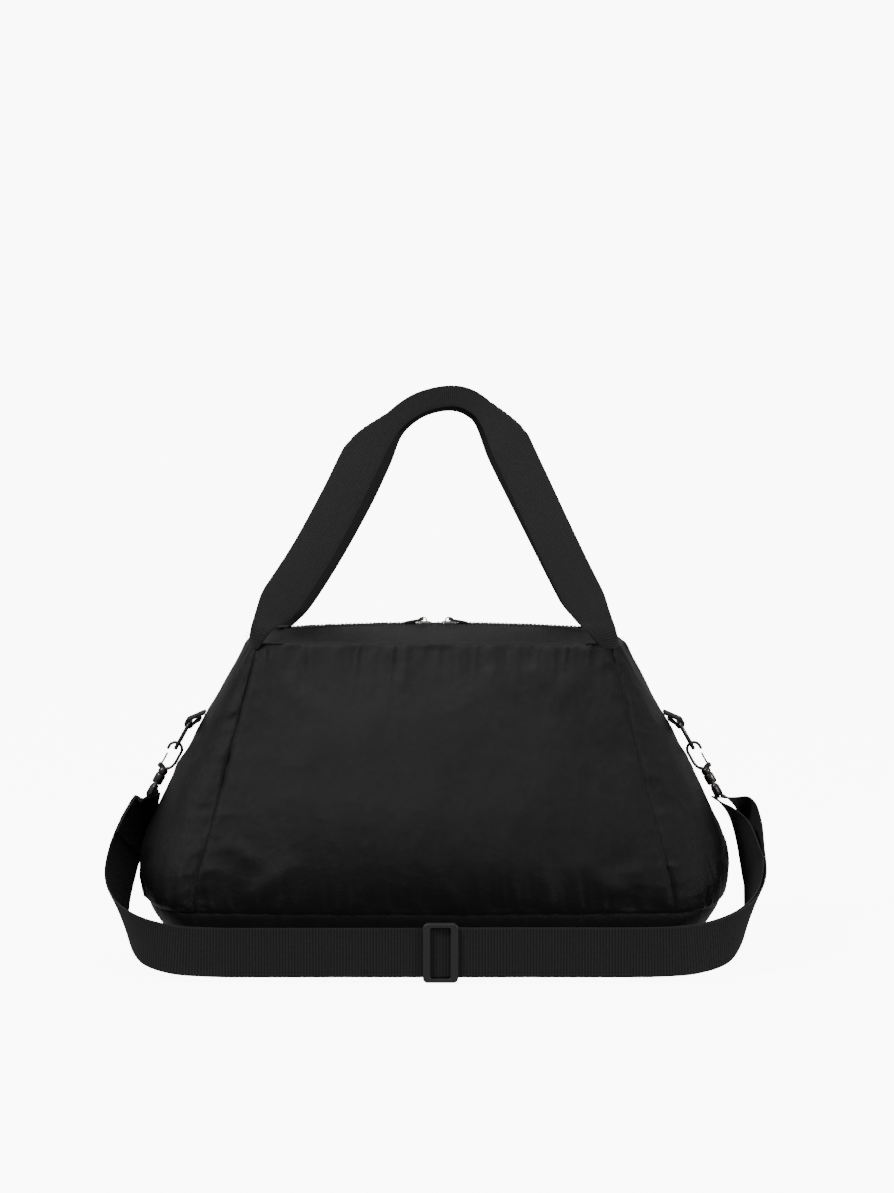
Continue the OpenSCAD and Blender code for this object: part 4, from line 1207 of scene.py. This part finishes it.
def sewn_end():
    """The left end's webbing, turned back on itself and sewn with a boxed cross."""
    first, last = 0.35, 2.55
    back = ribbed_band("strap_left_turnback", STRAP, (first, last), -1.75, 0.6)
    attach(back, "strap")
    near, far, edge = 1.3, 2.4, 0.8
    box_and_cross = [(near, -edge), (near, edge), (far, edge), (far, -edge), (near, -edge), (far, edge)]
    other_cross = [(near, edge), (far, -edge)]
    lines = []
    for chain in (box_and_cross, other_cross):
        for (v0, c0), (v1, c1) in zip(chain, chain[1:]):
            v = np.linspace(v0, v1, 14)
            c = np.linspace(c0, c1, 14)[:, None]
            p, _, w, n = strap_frames(STRAP, v)
            lines.append(p + w * c * STRAP_W / 2 + n * 0.95)
    stitches("strap_left_box_stitch", lines, "strap", pitch=2.8, length=2.0)


def strap_buckle():
    """The three-bar slider: a rounded frame in front of the webbing and a middle bar behind it."""
    w, h, win_w, win_h = 27.0, 45.4, 15.6, 39.2
    n = 10
    window = rounded_box_outline(win_w, win_h, 1.6, n)
    rim = prism("rim", rounded_box_outline(w, h, 3.6, n), -1.25, 1.25, PLASTIC, window)
    bevel(rim, 0.7, 4)
    place_mesh(rim, [[1, 0, 0], [0, 0, -1], [0, 1, 0]], (0, -STRAP_T / 2 - 0.45 - 1.25, 0))
    parts = [rim]
    for sz in (-1, 1):
        cap = prism("cap", rounded_box_outline(22, 6.2, 1.2, 5), -1.45, 1.45, PLASTIC)
        bevel(cap, 0.6, 3)
        place_mesh(cap, np.eye(3), (0, 0.9, sz * (STRAP_W / 2 + 2.15)))
        parts.append(cap)
    line = [(0, 2.35, z) for z in np.linspace(-STRAP_W / 2 - 1.2, STRAP_W / 2 + 1.2, 24)]
    parts.append(swept("bar", rod_rings(line, (0, 1, 0), 2.0, 0.85, 12, power=3), PLASTIC))
    ob = join("strap_slider_moulding", parts)
    place_mesh(ob, np.eye(3), (5.0, -FRONT_Y, STRAP_MID_Z))
    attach(ob, "buckle")
    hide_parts("strap_slider")


shoulder_strap()
sewn_end()
strap_buckle()

# ---------------------------------------------------------------- CAD nodes that stay

KEPT = {
    "corner_bindings": BINDING, "base_binding": BINDING, "handle_ends": HANDLE_WEB,
}
for name, material in KEPT.items():
    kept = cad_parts[name]
    kept.data.materials.clear()
    kept.data.materials.append(material)
    kept.data.polygons.foreach_set("use_smooth", [True] * len(kept.data.polygons))

# ---------------------------------------------------------------- stage, light and camera


def stage_and_camera():
    size = 6.0
    rows = []
    for k in range(40):
        a = math.pi / 2 * max(0.0, min(1.0, (k - 10) / 20))
        if k <= 10:
            rows.append((-size + (size + 1.5) * k / 10, 0.0))
        elif k <= 30:
            rows.append((1.5 + 1.5 * math.sin(a), 1.5 - 1.5 * math.cos(a)))
        else:
            rows.append((3.0, 1.5 + (k - 30) * 0.5))
    pts = []
    for y, z in rows:
        pts += [(-size, y, z), (size, y, z)]
    faces = [(2 * k, 2 * k + 1, 2 * k + 3, 2 * k + 2) for k in range(len(rows) - 1)]
    floor_mat = new_material("studio_paper", (0.9, 0.9, 0.9), 0.9)[0]
    nodes = floor_mat.node_tree.nodes
    nodes["Principled BSDF"].inputs["Emission Color"].default_value = (1, 1, 1, 1)
    nodes["Principled BSDF"].inputs["Emission Strength"].default_value = 9.0
    floor = mesh_piece("studio_floor", np.array(pts) * 1000, faces, floor_mat)
    floor.location.z = -0.0005
    floor.visible_diffuse = False
    floor.visible_glossy = False
    world = bpy.data.worlds.new("studio")
    bpy.context.scene.world = world
    world.use_nodes = True
    world.node_tree.nodes["Background"].inputs["Color"].default_value = (1, 1, 1, 1)
    world.node_tree.nodes["Background"].inputs["Strength"].default_value = 0.35
    for name, place, size_m, power in (
        ("key_light", (-1.5, -1.2, 2.3), 0.7, 62), ("fill_light", (2.1, -1.1, 0.9), 0.7, 22),
        ("top_light", (0.2, 0.5, 2.4), 1.6, 22),
    ):
        light = bpy.data.lights.new(name, "AREA")
        light.size = size_m
        light.energy = power
        ob = bpy.data.objects.new(name, light)
        ob.location = place
        ob.rotation_euler = (Vector((0, 0, 0.2)) - Vector(place)).to_track_quat("-Z", "Y").to_euler()
        bpy.context.scene.collection.objects.link(ob)
    target = Vector((0.0099, 0, 0.283))
    distance = 3.0
    tilt = math.radians(5.0)
    camera = bpy.data.cameras.new("camera")
    camera.sensor_fit = "VERTICAL"
    camera.sensor_height = 36.0
    camera.lens = 36.0 * distance / 0.9425
    ob = bpy.data.objects.new("camera", camera)
    ob.location = target + Vector((0, -math.cos(tilt), math.sin(tilt))) * distance
    ob.rotation_euler = (target - ob.location).to_track_quat("-Z", "Y").to_euler()
    bpy.context.scene.collection.objects.link(ob)
    bpy.context.scene.camera = ob


stage_and_camera()
